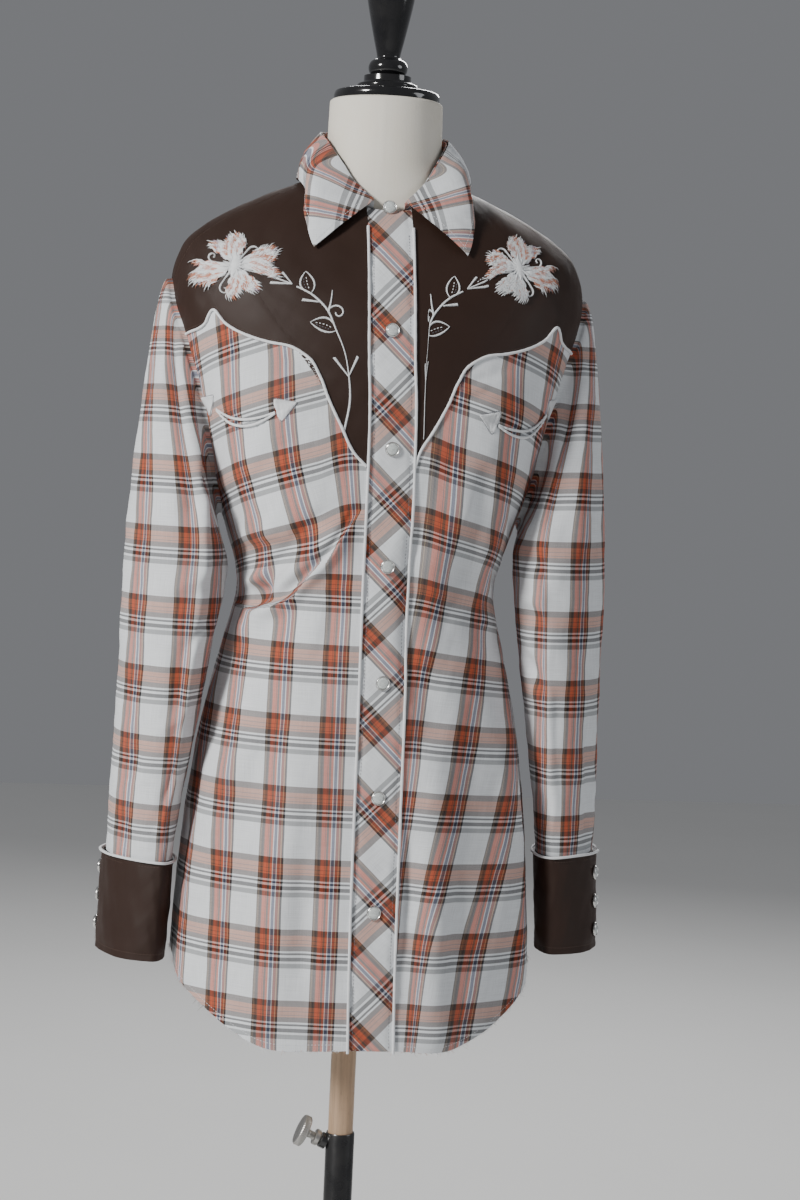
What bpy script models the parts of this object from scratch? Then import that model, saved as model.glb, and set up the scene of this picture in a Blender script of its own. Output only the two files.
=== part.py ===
"""Western snap shirt worn by a limbless dress form on a height-adjustable stand.

Metres, +Z up, front facing -Y, +X to the wearer's left. The origin is on the pole's axis,
on the floor. Every panel of the shirt is a thin wall cut from one torso surface, which is
addressed by an angle round the body (0 in front, 90 at the wearer's left) and the height
of its ring at the side.
"""

import math

import bpy
import numpy as np

CLOTH = 0.0014  # wall of every cloth panel
SEAM = 0.0003  # space between two pieces at a seam
PIPING = 0.0013  # piping radius
FORM_CLEARANCE = 0.0035  # form to cloth

# Rings of the torso surface, from the hem up. A ring dips towards its front and back.
RING_COLUMNS = "height", "half_width", "front", "back", "front_drop", "back_drop"
RINGS = (
    (0.580, 0.172, 0.130, 0.126, 0.000, 0.000),
    (0.700, 0.168, 0.129, 0.124, 0.000, 0.000),
    (0.780, 0.163, 0.127, 0.121, 0.000, 0.000),
    (0.850, 0.156, 0.124, 0.116, 0.000, 0.000),
    (0.920, 0.145, 0.120, 0.108, 0.000, 0.000),
    (0.980, 0.131, 0.117, 0.097, 0.000, 0.000),
    (1.040, 0.119, 0.116, 0.090, 0.000, 0.000),
    (1.090, 0.132, 0.118, 0.091, 0.000, 0.000),
    (1.140, 0.150, 0.121, 0.096, 0.000, 0.000),
    (1.187, 0.162, 0.124, 0.102, 0.001, 0.000),
    (1.220, 0.171, 0.124, 0.105, 0.008, 0.002),
    (1.260, 0.182, 0.122, 0.107, 0.024, 0.006),
    (1.305, 0.191, 0.119, 0.106, 0.040, 0.010),
    (1.335, 0.187, 0.115, 0.104, 0.050, 0.013),
    (1.356, 0.175, 0.110, 0.101, 0.054, 0.014),
    (1.372, 0.154, 0.102, 0.097, 0.052, 0.012),
    (1.391, 0.119, 0.089, 0.088, 0.045, 0.006),
    (1.404, 0.090, 0.076, 0.078, 0.037, 0.000),
    (1.414, 0.064, 0.060, 0.064, 0.031, -0.008),
)
NECK = RINGS[-1][0]
FULL_CORNERS = 0.03  # how much a ring swells between its front and its side

# Largest forms and folds, as ridges along a segment on the torso surface.
# Columns: angle, height, to_angle, to_height, width, rise
FOLDS = (
    (-38, 1.195, -36, 1.120, 0.052, 0.010),
    (38, 1.195, 36, 1.120, 0.052, 0.010),
    (-18, 1.085, -62, 1.000, 0.014, 0.006),
    (-30, 1.060, -66, 1.040, 0.012, 0.004),
    (40, 1.090, 66, 1.060, 0.013, 0.003),
    (-26, 0.900, -30, 0.640, 0.024, 0.005),
    (-62, 0.860, -66, 0.680, 0.026, 0.004),
    (20, 0.880, 22, 0.640, 0.020, 0.007),
    (58, 0.900, 62, 0.690, 0.028, 0.004),
    (150, 1.020, 154, 0.640, 0.028, 0.006),
    (180, 1.060, 182, 0.640, 0.028, 0.005),
    (211, 1.020, 206, 0.640, 0.028, 0.006),
)

# Placket: its middle drifts towards the wearer's left on the way down.
HALF_PLACKET = 0.0205
# Columns: height, across
DRIFT = (
    (0.580, 0.010),
    (0.700, 0.007),
    (1.000, 0.006),
    (1.200, 0.004),
    (1.300, 0.001),
    (1.414, 0.000),
)

# The shirt tail's edge, from the front round to the back.
# Columns: angle, height
HEM = (
    (0, 0.628),
    (15, 0.625),
    (28, 0.625),
    (40, 0.637),
    (50, 0.650),
    (58, 0.661),
    (70, 0.677),
    (82, 0.692),
    (95, 0.692),
    (110, 0.672),
    (128, 0.642),
    (150, 0.618),
    (180, 0.608),
)
SIDE_SEAM_HEM_ANGLE = 80
UNDERARM_ANGLE, UNDERARM = 88, 1.100

# Front yoke's lower edge, true height on the front, from the placket to the armhole.
# Columns: angle, height
FRONT_YOKE = (
    (None, 1.150),
    (10.5, 1.163),
    (14.5, 1.186),
    (18.0, 1.210),
    (20.0, 1.230),
    (22.5, 1.245),
    (27.0, 1.254),
    (34.0, 1.258),
    (42.0, 1.265),
    (47.5, 1.273),
    (52.0, 1.285),
    (57.0, 1.273),
    (None, 1.264),
)
# Columns: angle, height
BACK_YOKE = ((120, 1.249), (135, 1.242), (150, 1.231), (165, 1.217), (180, 1.200))

# Armhole, once round from the underarm by the front, as angle and height.
# Columns: angle, height
ARMHOLE = (
    (UNDERARM_ANGLE, UNDERARM),
    (79, 1.113),
    (73, 1.140),
    (70, 1.175),
    (69.5, 1.215),
    (72.5, 1.266),
    (76, 1.287),
    (82, 1.308),
    (90, 1.317),
    (98, 1.308),
    (104, 1.283),
    (108, 1.246),
    (110, 1.205),
    (109, 1.165),
    (104, 1.130),
    (96.5, 1.108),
)
YOKE_END, SHOULDER_END, BACK_YOKE_END = 5, 7, 11  # places along ARMHOLE
# Columns: angle, height
SHOULDER_SEAM = ((77.0, 1.338), (75.0, 1.362), (74.5, 1.382), (74.0, 1.400), (74.0, NECK))
NECK_ANGLE = 74

SIDE_STEPS, ARM_STEPS, FRONT_YOKE_STEPS, BACK_YOKE_STEPS = 12, 5, 6, 6
NECK_FRONT_STEPS, NECK_BACK_STEPS = 7, 8

# Sleeve rings, from the elbow's height down to the cuff. A flattened tube whose front
# fold is turned towards the body.
# Columns: height, across, forward, half_thick, half_wide, turn
SLEEVE = (
    (1.060, 0.1800, 0.018, 0.042, 0.067, 22),
    (1.015, 0.1825, 0.018, 0.041, 0.066, 22),
    (0.970, 0.1860, 0.017, 0.038, 0.064, 22),
    (0.925, 0.1900, 0.015, 0.035, 0.061, 22),
    (0.880, 0.1940, 0.012, 0.032, 0.058, 22),
    (0.835, 0.1985, 0.008, 0.029, 0.055, 22),
    (0.780, 0.2020, 0.004, 0.026, 0.053, 22),
)
CUFF_WALL, CUFF_HEIGHT = 0.0018, 0.092
CUFF_LEAN = 0.004  # outwards, over the cuff's height
CUFF_TURN, CUFF_LAP, CUFF_STEPS = 1.07, 0.0027, 22
SLEEVE_SHIFT = {-1: 0.0, 1: 0.014}  # the wearer's left sleeve sits higher
LAP_START = {-1: 0.64, 1: 0.46}  # where each cuff opens, as a share of a turn
SECTION_POINTINESS = 1.25
ARMHOLE_RISE = 0.004  # how far a sleeve comes straight out of its armhole

# Collar: its fold line round the neck, and the leaf's free edge on the yoke.
# Columns: angle, height, radius
FOLD_LINE = (
    (13, 1.391, 0.0620),
    (32, 1.409, 0.0595),
    (48, 1.428, 0.0585),
    (68, 1.446, 0.0580),
    (90, 1.455, 0.0580),
    (125, 1.460, 0.0590),
    (180, 1.463, 0.0600),
)
# Columns: angle, height, lift
LEAF_EDGE = (
    (29.0, 1.3805, 0.0040),
    (40.0, 1.3930, 0.0050),
    (56.0, 1.4050, 0.0050),
    (76.0, 1.4078, 0.0050),
    (95.0, 1.4085, 0.0050),
    (130.0, 1.4085, 0.0050),
    (180.0, 1.4090, 0.0050),
)
COLLAR_STEPS, LEAF_STEPS, LEAF_ROLL = 11, 4, 0.006

# Smile pockets and snaps, by angle and true height, the same on both sides but for tilt.
# Columns: inner_angle, inner_height, outer_angle, outer_height, sag
POCKETS = {-1: (33.0, 1.198, 61.0, 1.199, 0.009), 1: (33.4, 1.196, 63.0, 1.209, 0.011)}
LIP_SPACE, LIP_RADIUS, LIP_STEPS = 0.0058, 0.0013, 8
ARROW_LENGTH, ARROW_WIDTH, ARROW_WALL, ARROW_SEAT = 0.019, 0.020, 0.0012, 0.0005
ARROW_GAP = 0.001  # from the pocket's end to the arrowhead
ARROW_OUTLINE = (  # share of its length, share of its width
    (1.0, 0.0),
    (0.10, 0.5),
    (0.22, 0.12),
    (0.22, -0.12),
    (0.10, -0.5),
)
SNAP_HEIGHTS = (1.2725, 1.168, 1.063, 0.958, 0.855, 0.752)
COLLAR_SNAP_HEIGHT = 1.3863
COLLAR_SNAP_OUT = 0.0028  # in front of the cloth at the neck
COLLAR_SNAP_FACING = (0, -1, 0.25)
SNAP_RADIUS, SNAP_RISE, SNAP_SEAT = 0.0066, 0.0032, 0.0006
SNAP_PROFILE = ((0.96, 0.0), (1.0, 0.35), (0.93, 0.62), (0.6, 0.9), (0.25, 1.0))  # shares
SNAP_SIDES = 10
CUFF_SNAPS, CUFF_SNAP_SPACE = 3, 0.027

# Dress form: how far inside the torso surface it lies at the side, front and back.
# Columns: height, side, front, back
FORM_INSET = (
    (0.672, 0.022, 0.028, 0.020),
    (0.690, 0.014, 0.022, 0.014),
    (0.780, 0.012, 0.020, 0.011),
    (0.850, 0.011, 0.019, 0.010),
    (0.920, 0.012, 0.022, 0.010),
    (0.980, 0.012, 0.026, 0.010),
    (1.040, 0.011, 0.026, 0.009),
    (1.090, 0.010, 0.018, 0.006),
    (1.140, 0.007, 0.009, 0.004),
    (1.187, FORM_CLEARANCE, FORM_CLEARANCE, FORM_CLEARANCE),
    (1.260, 0.0050, 0.0050, 0.0050),
    (1.335, 0.0080, 0.0060, 0.0080),
    (1.372, 0.0080, 0.0070, 0.0090),
    (1.404, 0.0080, 0.0070, 0.0080),
    (NECK, 0.0069, 0.0059, 0.0064),
)
FORM_NECK = ((1.428, 0.0545), (1.445, 0.0535), (1.466, 0.0530), (1.4890, 0.0524))
RIM, FORM_BOTTOM = FORM_NECK[-1][0], FORM_INSET[0][0]
FORM_RING_HEIGHTS = (
    0.672, 0.690, 0.735, 0.785, 0.840, 0.895, 0.945, 0.990, 1.035, 1.075, 1.115, 1.155,
    1.195, 1.230, 1.265, 1.295, 1.320, 1.340, 1.358, 1.374, 1.391, 1.404, NECK,
)
FORM_SIDES = 32

# Stand.
POLE_RADIUS, POLE_BOTTOM, POLE_TOP = 0.012, 0.20, 0.745
SOCKET_RADIUS = POLE_RADIUS + SEAM
TUBE_RADIUS, TUBE_BORE, TUBE_TOP = 0.0137, 0.0124, 0.516
BASE_RADIUS, BASE_EDGE, HUB_RADIUS, HUB_TOP = 0.185, 0.009, 0.024, 0.060
TUBE_SEAT = 0.012
SCREW_HEIGHT, SCREW_TILT, SCREW_RADIUS = 0.500, 25, 0.004
SCREW_CLEARANCE = 0.0003
BOSS_RADIUS, BOSS_OUT = 0.0075, 0.0215
KNOB_RADIUS, KNOB_WALL, KNOB_OUT = 0.0150, 0.007, 0.0365
SCREW_CHAMFER, SCREW_TIP_ROOM, KNOB_FLARE = 0.001, 0.0022, 0.003
NUT_RADIUS, NUT_WALL, NUT_GAP = 0.0078, 0.005, 0.001

CAP_PROFILE = (  # turned cap: radius and height above the rim
    (0.0490, 0.0003),
    (0.0495, 0.0040),
    (0.0480, 0.0090),
    (0.0285, 0.0098),
    (0.0280, 0.0160),
    (0.0222, 0.0170),
    (0.0220, 0.0235),
)
FINIAL_PROFILE = (
    (0.0150, 0.0238),
    (0.0176, 0.0275),
    (0.0182, 0.0325),
    (0.0160, 0.0372),
    (0.0112, 0.0400),
    (0.0112, 0.0440),
    (0.0140, 0.0560),
    (0.0180, 0.0740),
    (0.0218, 0.0930),
    (0.0238, 0.1090),
    (0.0226, 0.1240),
    (0.0170, 0.1370),
    (0.0080, 0.1440),
)

COLOURS = {  # colour, roughness, metallic
    "plaid_cloth": ((0.62, 0.40, 0.34), 0.85, 0.0),
    "brown_twill": ((0.060, 0.035, 0.026), 0.6, 0.0),
    "white_piping": ((0.82, 0.82, 0.83), 0.6, 0.0),
    "pearl_snap": ((0.72, 0.73, 0.72), 0.25, 0.3),
    "form_canvas": ((0.86, 0.85, 0.82), 0.7, 0.0),
    "black_lacquer": ((0.006, 0.006, 0.007), 0.15, 0.0),
    "beech_wood": ((0.62, 0.47, 0.34), 0.45, 0.0),
    "black_steel": ((0.010, 0.010, 0.011), 0.3, 0.6),
    "bright_steel": ((0.55, 0.55, 0.54), 0.3, 1.0),
}


def material(name):
    if name in bpy.data.materials:
        return bpy.data.materials[name]
    colour, roughness, metallic = COLOURS[name]
    made = bpy.data.materials.new(name)
    made.use_nodes = True
    shader = made.node_tree.nodes["Principled BSDF"]
    shader.inputs["Base Color"].default_value = (*colour, 1)
    shader.inputs["Roughness"].default_value = roughness
    shader.inputs["Metallic"].default_value = metallic
    return made


def enclosed(points, faces):
    """Volume inside a mesh: negative where its faces point inward."""
    points = np.array(points, float)
    return sum(
        np.dot(points[f[0]], np.cross(points[a], points[b]))
        for f in faces
        for a, b in zip(f[1:-1], f[2:])
    )


def add_object(name, points, faces, finish, smooth=True, sharp=40):
    if enclosed(points, faces) < 0:
        faces = [face[::-1] for face in faces]
    mesh = bpy.data.meshes.new(name)
    mesh.from_pydata([tuple(map(float, p)) for p in points], [], [tuple(f) for f in faces])
    mesh.materials.append(material(finish))
    if smooth:
        mesh.shade_smooth()
        mesh.set_sharp_from_angle(angle=math.radians(sharp))
    made = bpy.data.objects.new(name, mesh)
    bpy.context.collection.objects.link(made)
    return made


def unit(v):
    return v / np.maximum(np.linalg.norm(v, axis=-1, keepdims=True), 1e-12)


def smooth_read(table, column, x):
    """A column of a table at x, on a curve through its rows. Column 0 holds x."""
    rows = np.array(table, float)
    xs, ys = rows[:, 0], rows[:, column]
    slopes = np.gradient(ys, xs)
    x = np.clip(np.asarray(x, float), xs[0], xs[-1])
    i = np.clip(np.searchsorted(xs, x, side="right") - 1, 0, len(xs) - 2)
    span = xs[i + 1] - xs[i]
    s = (x - xs[i]) / span
    start = (1 + 2 * s) * (1 - s) ** 2 * ys[i] + s * (1 - s) ** 2 * span * slopes[i]
    end = s * s * (3 - 2 * s) * ys[i + 1] + s * s * (s - 1) * span * slopes[i + 1]
    return start + end


def ring_column(name, height):
    return smooth_read(RINGS, RING_COLUMNS.index(name), height)


def torso_base(angle, height):
    """Points of the bare torso surface. Angles in degrees."""
    turn = np.radians(angle)
    sine, cosine = np.sin(turn), np.cos(turn)
    ahead = cosine > 0
    depth = np.where(ahead, ring_column("front", height), ring_column("back", height))
    drop_front, drop_back = ring_column("front_drop", height), ring_column("back_drop", height)
    drop = np.where(ahead, drop_front, drop_back)
    full = 1 + FULL_CORNERS * np.sin(2 * turn) ** 2
    x = ring_column("half_width", height) * sine * full
    return np.stack([x, -depth * cosine * full, height - drop * cosine**2], -1)


def torso_normal(angle, height):
    step_angle, step_height = 0.5, 0.002
    low, high = np.maximum(height - step_height, RINGS[0][0]), np.minimum(height + step_height, NECK)
    across = torso_base(angle + step_angle, height) - torso_base(angle - step_angle, height)
    upward = torso_base(angle, high) - torso_base(angle, low)
    return unit(np.cross(across, upward))


def fold_rise(angle, height):
    """How far the folds stand out from the torso surface."""
    around = (np.asarray(angle, float) + 180) % 360 - 180
    half_width = ring_column("half_width", height)
    total = np.zeros(np.broadcast(around, height).shape)
    for angle_a, height_a, angle_b, height_b, width, rise in FOLDS:
        away = (around - angle_a + 180) % 360 - 180
        reach = half_width * math.radians((angle_b - angle_a + 180) % 360 - 180)
        x, z = half_width * np.radians(away), height - height_a
        climb = height_b - height_a
        along = np.clip((x * reach + z * climb) / (reach**2 + climb**2), 0, 1)
        distance = np.hypot(x - along * reach, z - along * climb)
        total += rise * np.exp(-((distance / width) ** 2))
    return total


def torso(angle, height, lift=0.0):
    angle, height = np.broadcast_arrays(np.asarray(angle, float), np.asarray(height, float))
    out = torso_normal(angle, height)
    return torso_base(angle, height) + out * (lift + fold_rise(angle, height))[..., None]


def ring_height(angle, true_height):
    """The ring whose point at this angle lies at the true height."""
    height = true_height
    for _ in range(12):
        dipped = torso_base(angle, height)[..., 2]
        height = np.clip(height + (true_height - dipped) * 0.8, RINGS[0][0], NECK)
    return float(height)


def placket_angle(side, height, half=HALF_PLACKET):
    across = smooth_read(DRIFT, 1, height) + side * half
    return np.degrees(np.arcsin(across / ring_column("half_width", height)))


def even(a, b, steps):
    return [a + (b - a) * i / steps for i in range(steps + 1)]


def armhole(place):
    """Angle and height on the wearer's left armhole, at a place along ARMHOLE's rows."""
    rows, count = np.array(ARMHOLE), len(ARMHOLE)
    i, s = int(math.floor(place)) % count, place - math.floor(place)
    a, b, c, d = (rows[(i + k) % count] for k in (-1, 0, 1, 2))
    return b + 0.5 * s * (c - a + s * (2 * a - 5 * b + 4 * c - d + s * (3 * (b - c) + d - a)))


def mirrored(points, side):
    """Angle and height pairs of the wearer's left, taken to one side."""
    return [(side * angle, height) for angle, height in points]


def hem_points(angles):
    return [(a, float(smooth_read(HEM, 1, abs((a + 180) % 360 - 180)))) for a in angles]


def side_seam():
    hem = float(smooth_read(HEM, 1, SIDE_SEAM_HEM_ANGLE))
    share = even(0, 1, SIDE_STEPS)
    spread = UNDERARM_ANGLE - SIDE_SEAM_HEM_ANGLE
    return [(SIDE_SEAM_HEM_ANGLE + spread * s, hem + (UNDERARM - hem) * s) for s in share]


def placket_points(side):
    """Placket edge from the hem up to the yoke's point, then on to the neck."""
    hem = float(smooth_read(HEM, 1, 8))
    yoke = FRONT_YOKE[0][1]
    heights = even(hem, yoke, SIDE_STEPS + ARM_STEPS)
    heights += [yoke + (NECK - yoke) * (1 - (1 - s) ** 1.5) for s in even(0, 1, FRONT_YOKE_STEPS)[1:]]
    return [(float(placket_angle(side, h)), h) for h in heights]


def front_yoke_points(side):
    """Lower edge of the front yoke, from the placket to the armhole."""
    start = placket_points(side)[SIDE_STEPS + ARM_STEPS]
    end = armhole(YOKE_END)
    middle = [(a, ring_height(a, h)) for a, h in FRONT_YOKE[1:-1]]
    return [start] + mirrored(middle + [tuple(end)], side)


def back_yoke_points():
    """Lower edge of the back yoke, from the wearer's left armhole to the right one."""
    end = armhole(BACK_YOKE_END)
    half = [tuple(end)]
    for a, b in zip((tuple(end),) + BACK_YOKE[:-1], BACK_YOKE):
        half += [((a[0] + b[0]) / 2, (a[1] + b[1]) / 2), b]
    half = half[:1] + half[2:]
    return half + [(360 - angle, height) for angle, height in half[-2::-1]]


def coons(bottom, top, left, right):
    """Grid between four edges. Bottom and top run left to right, the sides run upward."""
    bottom, top, left, right = (np.array(edge, float) for edge in (bottom, top, left, right))
    u = np.linspace(0, 1, len(bottom))[None, :, None]
    v = np.linspace(0, 1, len(left))[:, None, None]
    between = (1 - v) * bottom[None] + v * top[None] + (1 - u) * left[:, None] + u * right[:, None]
    corners = (1 - u) * ((1 - v) * bottom[0] + v * top[0]) + u * ((1 - v) * bottom[-1] + v * top[-1])
    return between - corners


def draw_in(grid, amount):
    """Moves a grid's border in from its seams, towards the next row or column."""
    moved = grid.copy()
    for edge, inward in ((0, 1), (-1, -2)):
        moved[edge] += unit(grid[inward] - grid[edge]) * amount
        moved[:, edge] += unit(grid[:, inward] - grid[:, edge]) * amount
    return moved


def wall(name, inner, outer, finish):
    """A closed wall between two grids of points."""
    rows, columns = outer.shape[:2]
    count = rows * columns
    points = list(inner.reshape(-1, 3)) + list(outer.reshape(-1, 3))
    faces = []
    for j in range(rows - 1):
        for i in range(columns - 1):
            a, b = j * columns + i, j * columns + i + 1
            c, d = b + columns, a + columns
            faces += [(count + a, count + b, count + c, count + d), (a, d, c, b)]
    border = [i for i in range(columns)]
    border += [j * columns + columns - 1 for j in range(1, rows)]
    border += [(rows - 1) * columns + i for i in range(columns - 2, -1, -1)]
    border += [j * columns for j in range(rows - 2, 0, -1)]
    for a, b in zip(border, border[1:] + border[:1]):
        faces.append((a, b, count + b, count + a))
    return add_object(name, points, faces, finish)


def panel(name, places, finish):
    """A cloth wall on a grid of torso places."""
    angle, height = places[..., 0], places[..., 1]
    inner = draw_in(torso(angle, height), SEAM * 1.5)
    outer = draw_in(torso(angle, height, CLOTH), SEAM * 1.5)
    return wall(name, inner, outer, finish)


def tube_along(name, points, out, radius, finish, sides=4):
    """A closed tube along points, its cross-section turned by the outward directions."""
    points, out = np.array(points), np.array(out)
    along = unit(np.gradient(points, axis=0))
    beside = unit(np.cross(along, out))
    upright = np.cross(beside, along)
    rings = []
    for k in range(sides):
        turn = 2 * math.pi * (k + 0.5) / sides
        rings.append(points + radius * (math.cos(turn) * beside + math.sin(turn) * upright))
    grid = np.stack(rings, 1)
    count = len(points)
    faces = []
    for j in range(count - 1):
        for k in range(sides):
            a, b = j * sides + k, j * sides + (k + 1) % sides
            faces.append((a, b, b + sides, a + sides))
    faces.append(tuple(range(sides))[::-1])
    faces.append(tuple((count - 1) * sides + k for k in range(sides)))
    return add_object(name, grid.reshape(-1, 3), faces, finish, sharp=95)


def turned(name, profile, finish, sides):
    """A solid turned about an upright axis, its profile given upward as radius and height."""
    points, faces = [], []
    for radius, height in profile:
        for k in range(sides):
            turn = 2 * math.pi * k / sides
            points.append((radius * math.cos(turn), radius * math.sin(turn), height))
    for j in range(len(profile) - 1):
        for k in range(sides):
            a, b = j * sides + k, j * sides + (k + 1) % sides
            faces.append((a, b, b + sides, a + sides))
    faces.append(tuple(range(sides))[::-1])
    faces.append(tuple((len(profile) - 1) * sides + k for k in range(sides)))
    return add_object(name, points, faces, finish, sharp=50)


def piping_on(name, places):
    """Piping that covers a seam, on the panels' outer side."""
    places = np.array(places, float)
    lift = CLOTH + SEAM + PIPING
    points = torso(places[:, 0], places[:, 1], lift)
    return tube_along(name, points, torso_normal(places[:, 0], places[:, 1]), PIPING, "white_piping")


def make_panels():
    lower = SIDE_STEPS + ARM_STEPS
    arm_low = [tuple(armhole(p)) for p in even(0, YOKE_END, ARM_STEPS)]
    arm_high = [tuple(armhole(p)) for p in even(YOKE_END, SHOULDER_END, FRONT_YOKE_STEPS)]
    back_high = [tuple(armhole(p)) for p in even(SHOULDER_END, BACK_YOKE_END, BACK_YOKE_STEPS)]
    back_low = [tuple(armhole(p)) for p in even(BACK_YOKE_END, len(ARMHOLE), ARM_STEPS)]
    side_line = side_seam()
    shoulder = [tuple(armhole(SHOULDER_END))] + list(SHOULDER_SEAM)

    for side, word in ((1, "left"), (-1, "right")):
        placket = placket_points(side)
        yoke_edge = front_yoke_points(side)
        hem_angles = even(placket[0][0], side * SIDE_SEAM_HEM_ANGLE, len(yoke_edge) - 1)
        outer = mirrored(side_line + arm_low[1:], side)
        front = coons(hem_points(hem_angles), yoke_edge, placket[: lower + 1], outer)
        panel(f"front_{word}", front, "plaid_cloth")

        neck_start = placket[-1][0]
        neck = [(a, NECK) for a in even(neck_start, side * NECK_ANGLE, NECK_FRONT_STEPS)]
        seam = mirrored(shoulder[::-1], side)
        yoke = coons(yoke_edge, neck + seam[1:], placket[lower:], mirrored(arm_high, side))
        panel(f"yoke_front_{word}", yoke, "brown_twill")
        piping_on(f"yoke_piping_{word}", yoke_edge[1:-1])

    yoke_edge = back_yoke_points()
    neck = [(a, NECK) for a in even(NECK_ANGLE, 360 - NECK_ANGLE, NECK_BACK_STEPS)]
    far = [(360 - a, h) for a, h in shoulder]
    columns = len(shoulder) * 2 + len(neck) - 2
    top = shoulder + neck[1:-1] + far[::-1]
    shares = np.linspace(0, 1, columns)
    edge = np.array(yoke_edge)
    walked = np.linspace(0, 1, len(edge))
    bottom = np.stack([np.interp(shares, walked, edge[:, k]) for k in range(2)], -1)
    left, right = back_high[::-1], [(360 - a, h) for a, h in back_high[::-1]]
    panel("yoke_back", coons(bottom, top, left, right), "brown_twill")
    piping_on("yoke_piping_back", bottom[1:-1])

    hem = hem_points(even(SIDE_SEAM_HEM_ANGLE, 360 - SIDE_SEAM_HEM_ANGLE, columns - 1))
    left = side_line + back_low[::-1][1:]
    right = [(360 - a, h) for a, h in left]
    panel("back_panel", coons(hem, bottom, left, right), "plaid_cloth")


def make_placket():
    left, right = placket_points(1), placket_points(-1)
    grid = np.array([right, left]).transpose(1, 0, 2)
    middle = (grid[:, :1] + grid[:, 1:]) / 2
    grid = np.concatenate([grid[:, :1], middle, grid[:, 1:]], 1)
    grid[-1, :, 1] -= SEAM * 2  # clear of the collar stand
    panel("placket", grid, "plaid_cloth")
    for side, word in ((1, "left"), (-1, "right")):
        piping_on(f"placket_piping_{word}", placket_points(side)[:-1])


def section(half_thick, half_wide, turn_degrees, shares, side):
    """Points round a flattened sleeve ring: share 0 faces the body, 0.25 the front."""
    turn = 2 * math.pi * np.asarray(shares)
    cosine, sine = np.cos(turn), np.sin(turn)
    thick = half_thick * np.sign(cosine) * np.abs(cosine) ** SECTION_POINTINESS
    wide = half_wide * sine
    t = math.radians(turn_degrees)
    inward = np.array([-math.cos(t) * side, math.sin(t)])
    ahead = np.array([-math.sin(t) * side, -math.cos(t)])
    return thick[:, None] * inward + wide[:, None] * ahead


def sleeve_ring(height, shares, side):
    """A sleeve ring at a height, before the sleeve's own shift."""
    rows = SLEEVE[::-1]
    across, forward, thick, wide, turn = (float(smooth_read(rows, k, height)) for k in range(1, 6))
    flat = section(thick, wide, turn, shares, side)
    flat += np.array([side * across, -forward])
    return np.concatenate([flat, np.full((len(flat), 1), height + SLEEVE_SHIFT[side])], 1)


def grid_normals(grid, closed):
    across = np.roll(grid, -1, 1) - np.roll(grid, 1, 1) if closed else np.gradient(grid, axis=1)
    return unit(np.cross(across, np.gradient(grid, axis=0)))


def ring_wall(name, inner, outer, finish):
    """A closed tube wall between two grids whose columns close round."""
    rows, columns = outer.shape[:2]
    count = rows * columns
    faces = []
    for i in range(columns):
        k = (i + 1) % columns
        for j in range(rows - 1):
            a, b, c, d = j * columns + i, j * columns + k, (j + 1) * columns + k, (j + 1) * columns + i
            faces += [(count + a, count + b, count + c, count + d), (a, d, c, b)]
        faces.append((i, k, count + k, count + i))
        last = (rows - 1) * columns
        faces.append((last + k, last + i, count + last + i, count + last + k))
    points = list(inner.reshape(-1, 3)) + list(outer.reshape(-1, 3))
    return add_object(name, points, faces, finish)


def make_sleeve(side, word):
    count = len(ARMHOLE)
    places = even(0, YOKE_END, ARM_STEPS) + even(YOKE_END, SHOULDER_END, FRONT_YOKE_STEPS)[1:]
    places += even(SHOULDER_END, BACK_YOKE_END, BACK_YOKE_STEPS)[1:]
    places += even(BACK_YOKE_END, count, ARM_STEPS)[1:-1]
    edge = np.array(mirrored([tuple(armhole(p)) for p in places], side))
    start = torso(edge[:, 0], edge[:, 1], 0.0)
    centre = start.mean(0)
    to_centre = unit(centre - start)
    outward = np.array([side * 1.0, 0.0, 0.0])
    opened = start + to_centre * (SEAM * 2.5)
    shares = np.array(places) / count
    end = sleeve_ring(SLEEVE[0][0], shares, side)
    reach = np.linalg.norm(end - opened, axis=1, keepdims=True)
    first = opened + outward * ARMHOLE_RISE
    leave = outward * np.minimum(reach * 0.55, 0.045)
    arrive = np.array([side * 0.03, 0.0, -1.0]) * reach * 0.95
    rows = [opened, first]
    for s in (0.12, 0.28, 0.46, 0.64, 0.82, 1.0):
        blend_a, blend_b = 2 * s**3 - 3 * s**2 + 1, s**3 - 2 * s**2 + s
        blend_c, blend_d = 3 * s**2 - 2 * s**3, s**3 - s**2
        rows.append(first * blend_a + leave * blend_b + end * blend_c + arrive * blend_d)
    for row in SLEEVE[1:-1]:
        rows.append(sleeve_ring(row[0], shares, side))
    rows.append(sleeve_ring(SLEEVE[-1][0] + SEAM, shares, side))
    outer = np.stack(rows)
    out = grid_normals(outer, True) * -side
    inner = outer - out * CLOTH
    ring_wall(f"sleeve_{word}", inner, outer, "plaid_cloth")


def cuff_path(height, shares, side, spare=0.0):
    """Points round the cuff, its lapping end stepping outward over its first end."""
    bottom = SLEEVE[-1]
    flat = section(bottom[3] + spare, bottom[4] + spare, bottom[5], shares, side)
    down = SLEEVE[-1][0] - height
    centre = np.array([side * (bottom[1] + CUFF_LEAN * down / CUFF_HEIGHT), -bottom[2]])
    return np.concatenate([flat + centre, np.full((len(flat), 1), height + SLEEVE_SHIFT[side])], 1)


def cuff_out(shares, side):
    ahead = cuff_path(SLEEVE[-1][0], np.asarray(shares) + 0.004, side)
    behind = cuff_path(SLEEVE[-1][0], np.asarray(shares) - 0.004, side)
    along = unit(ahead - behind)
    return np.stack([along[:, 1], -along[:, 0], along[:, 2] * 0], 1) * side


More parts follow.
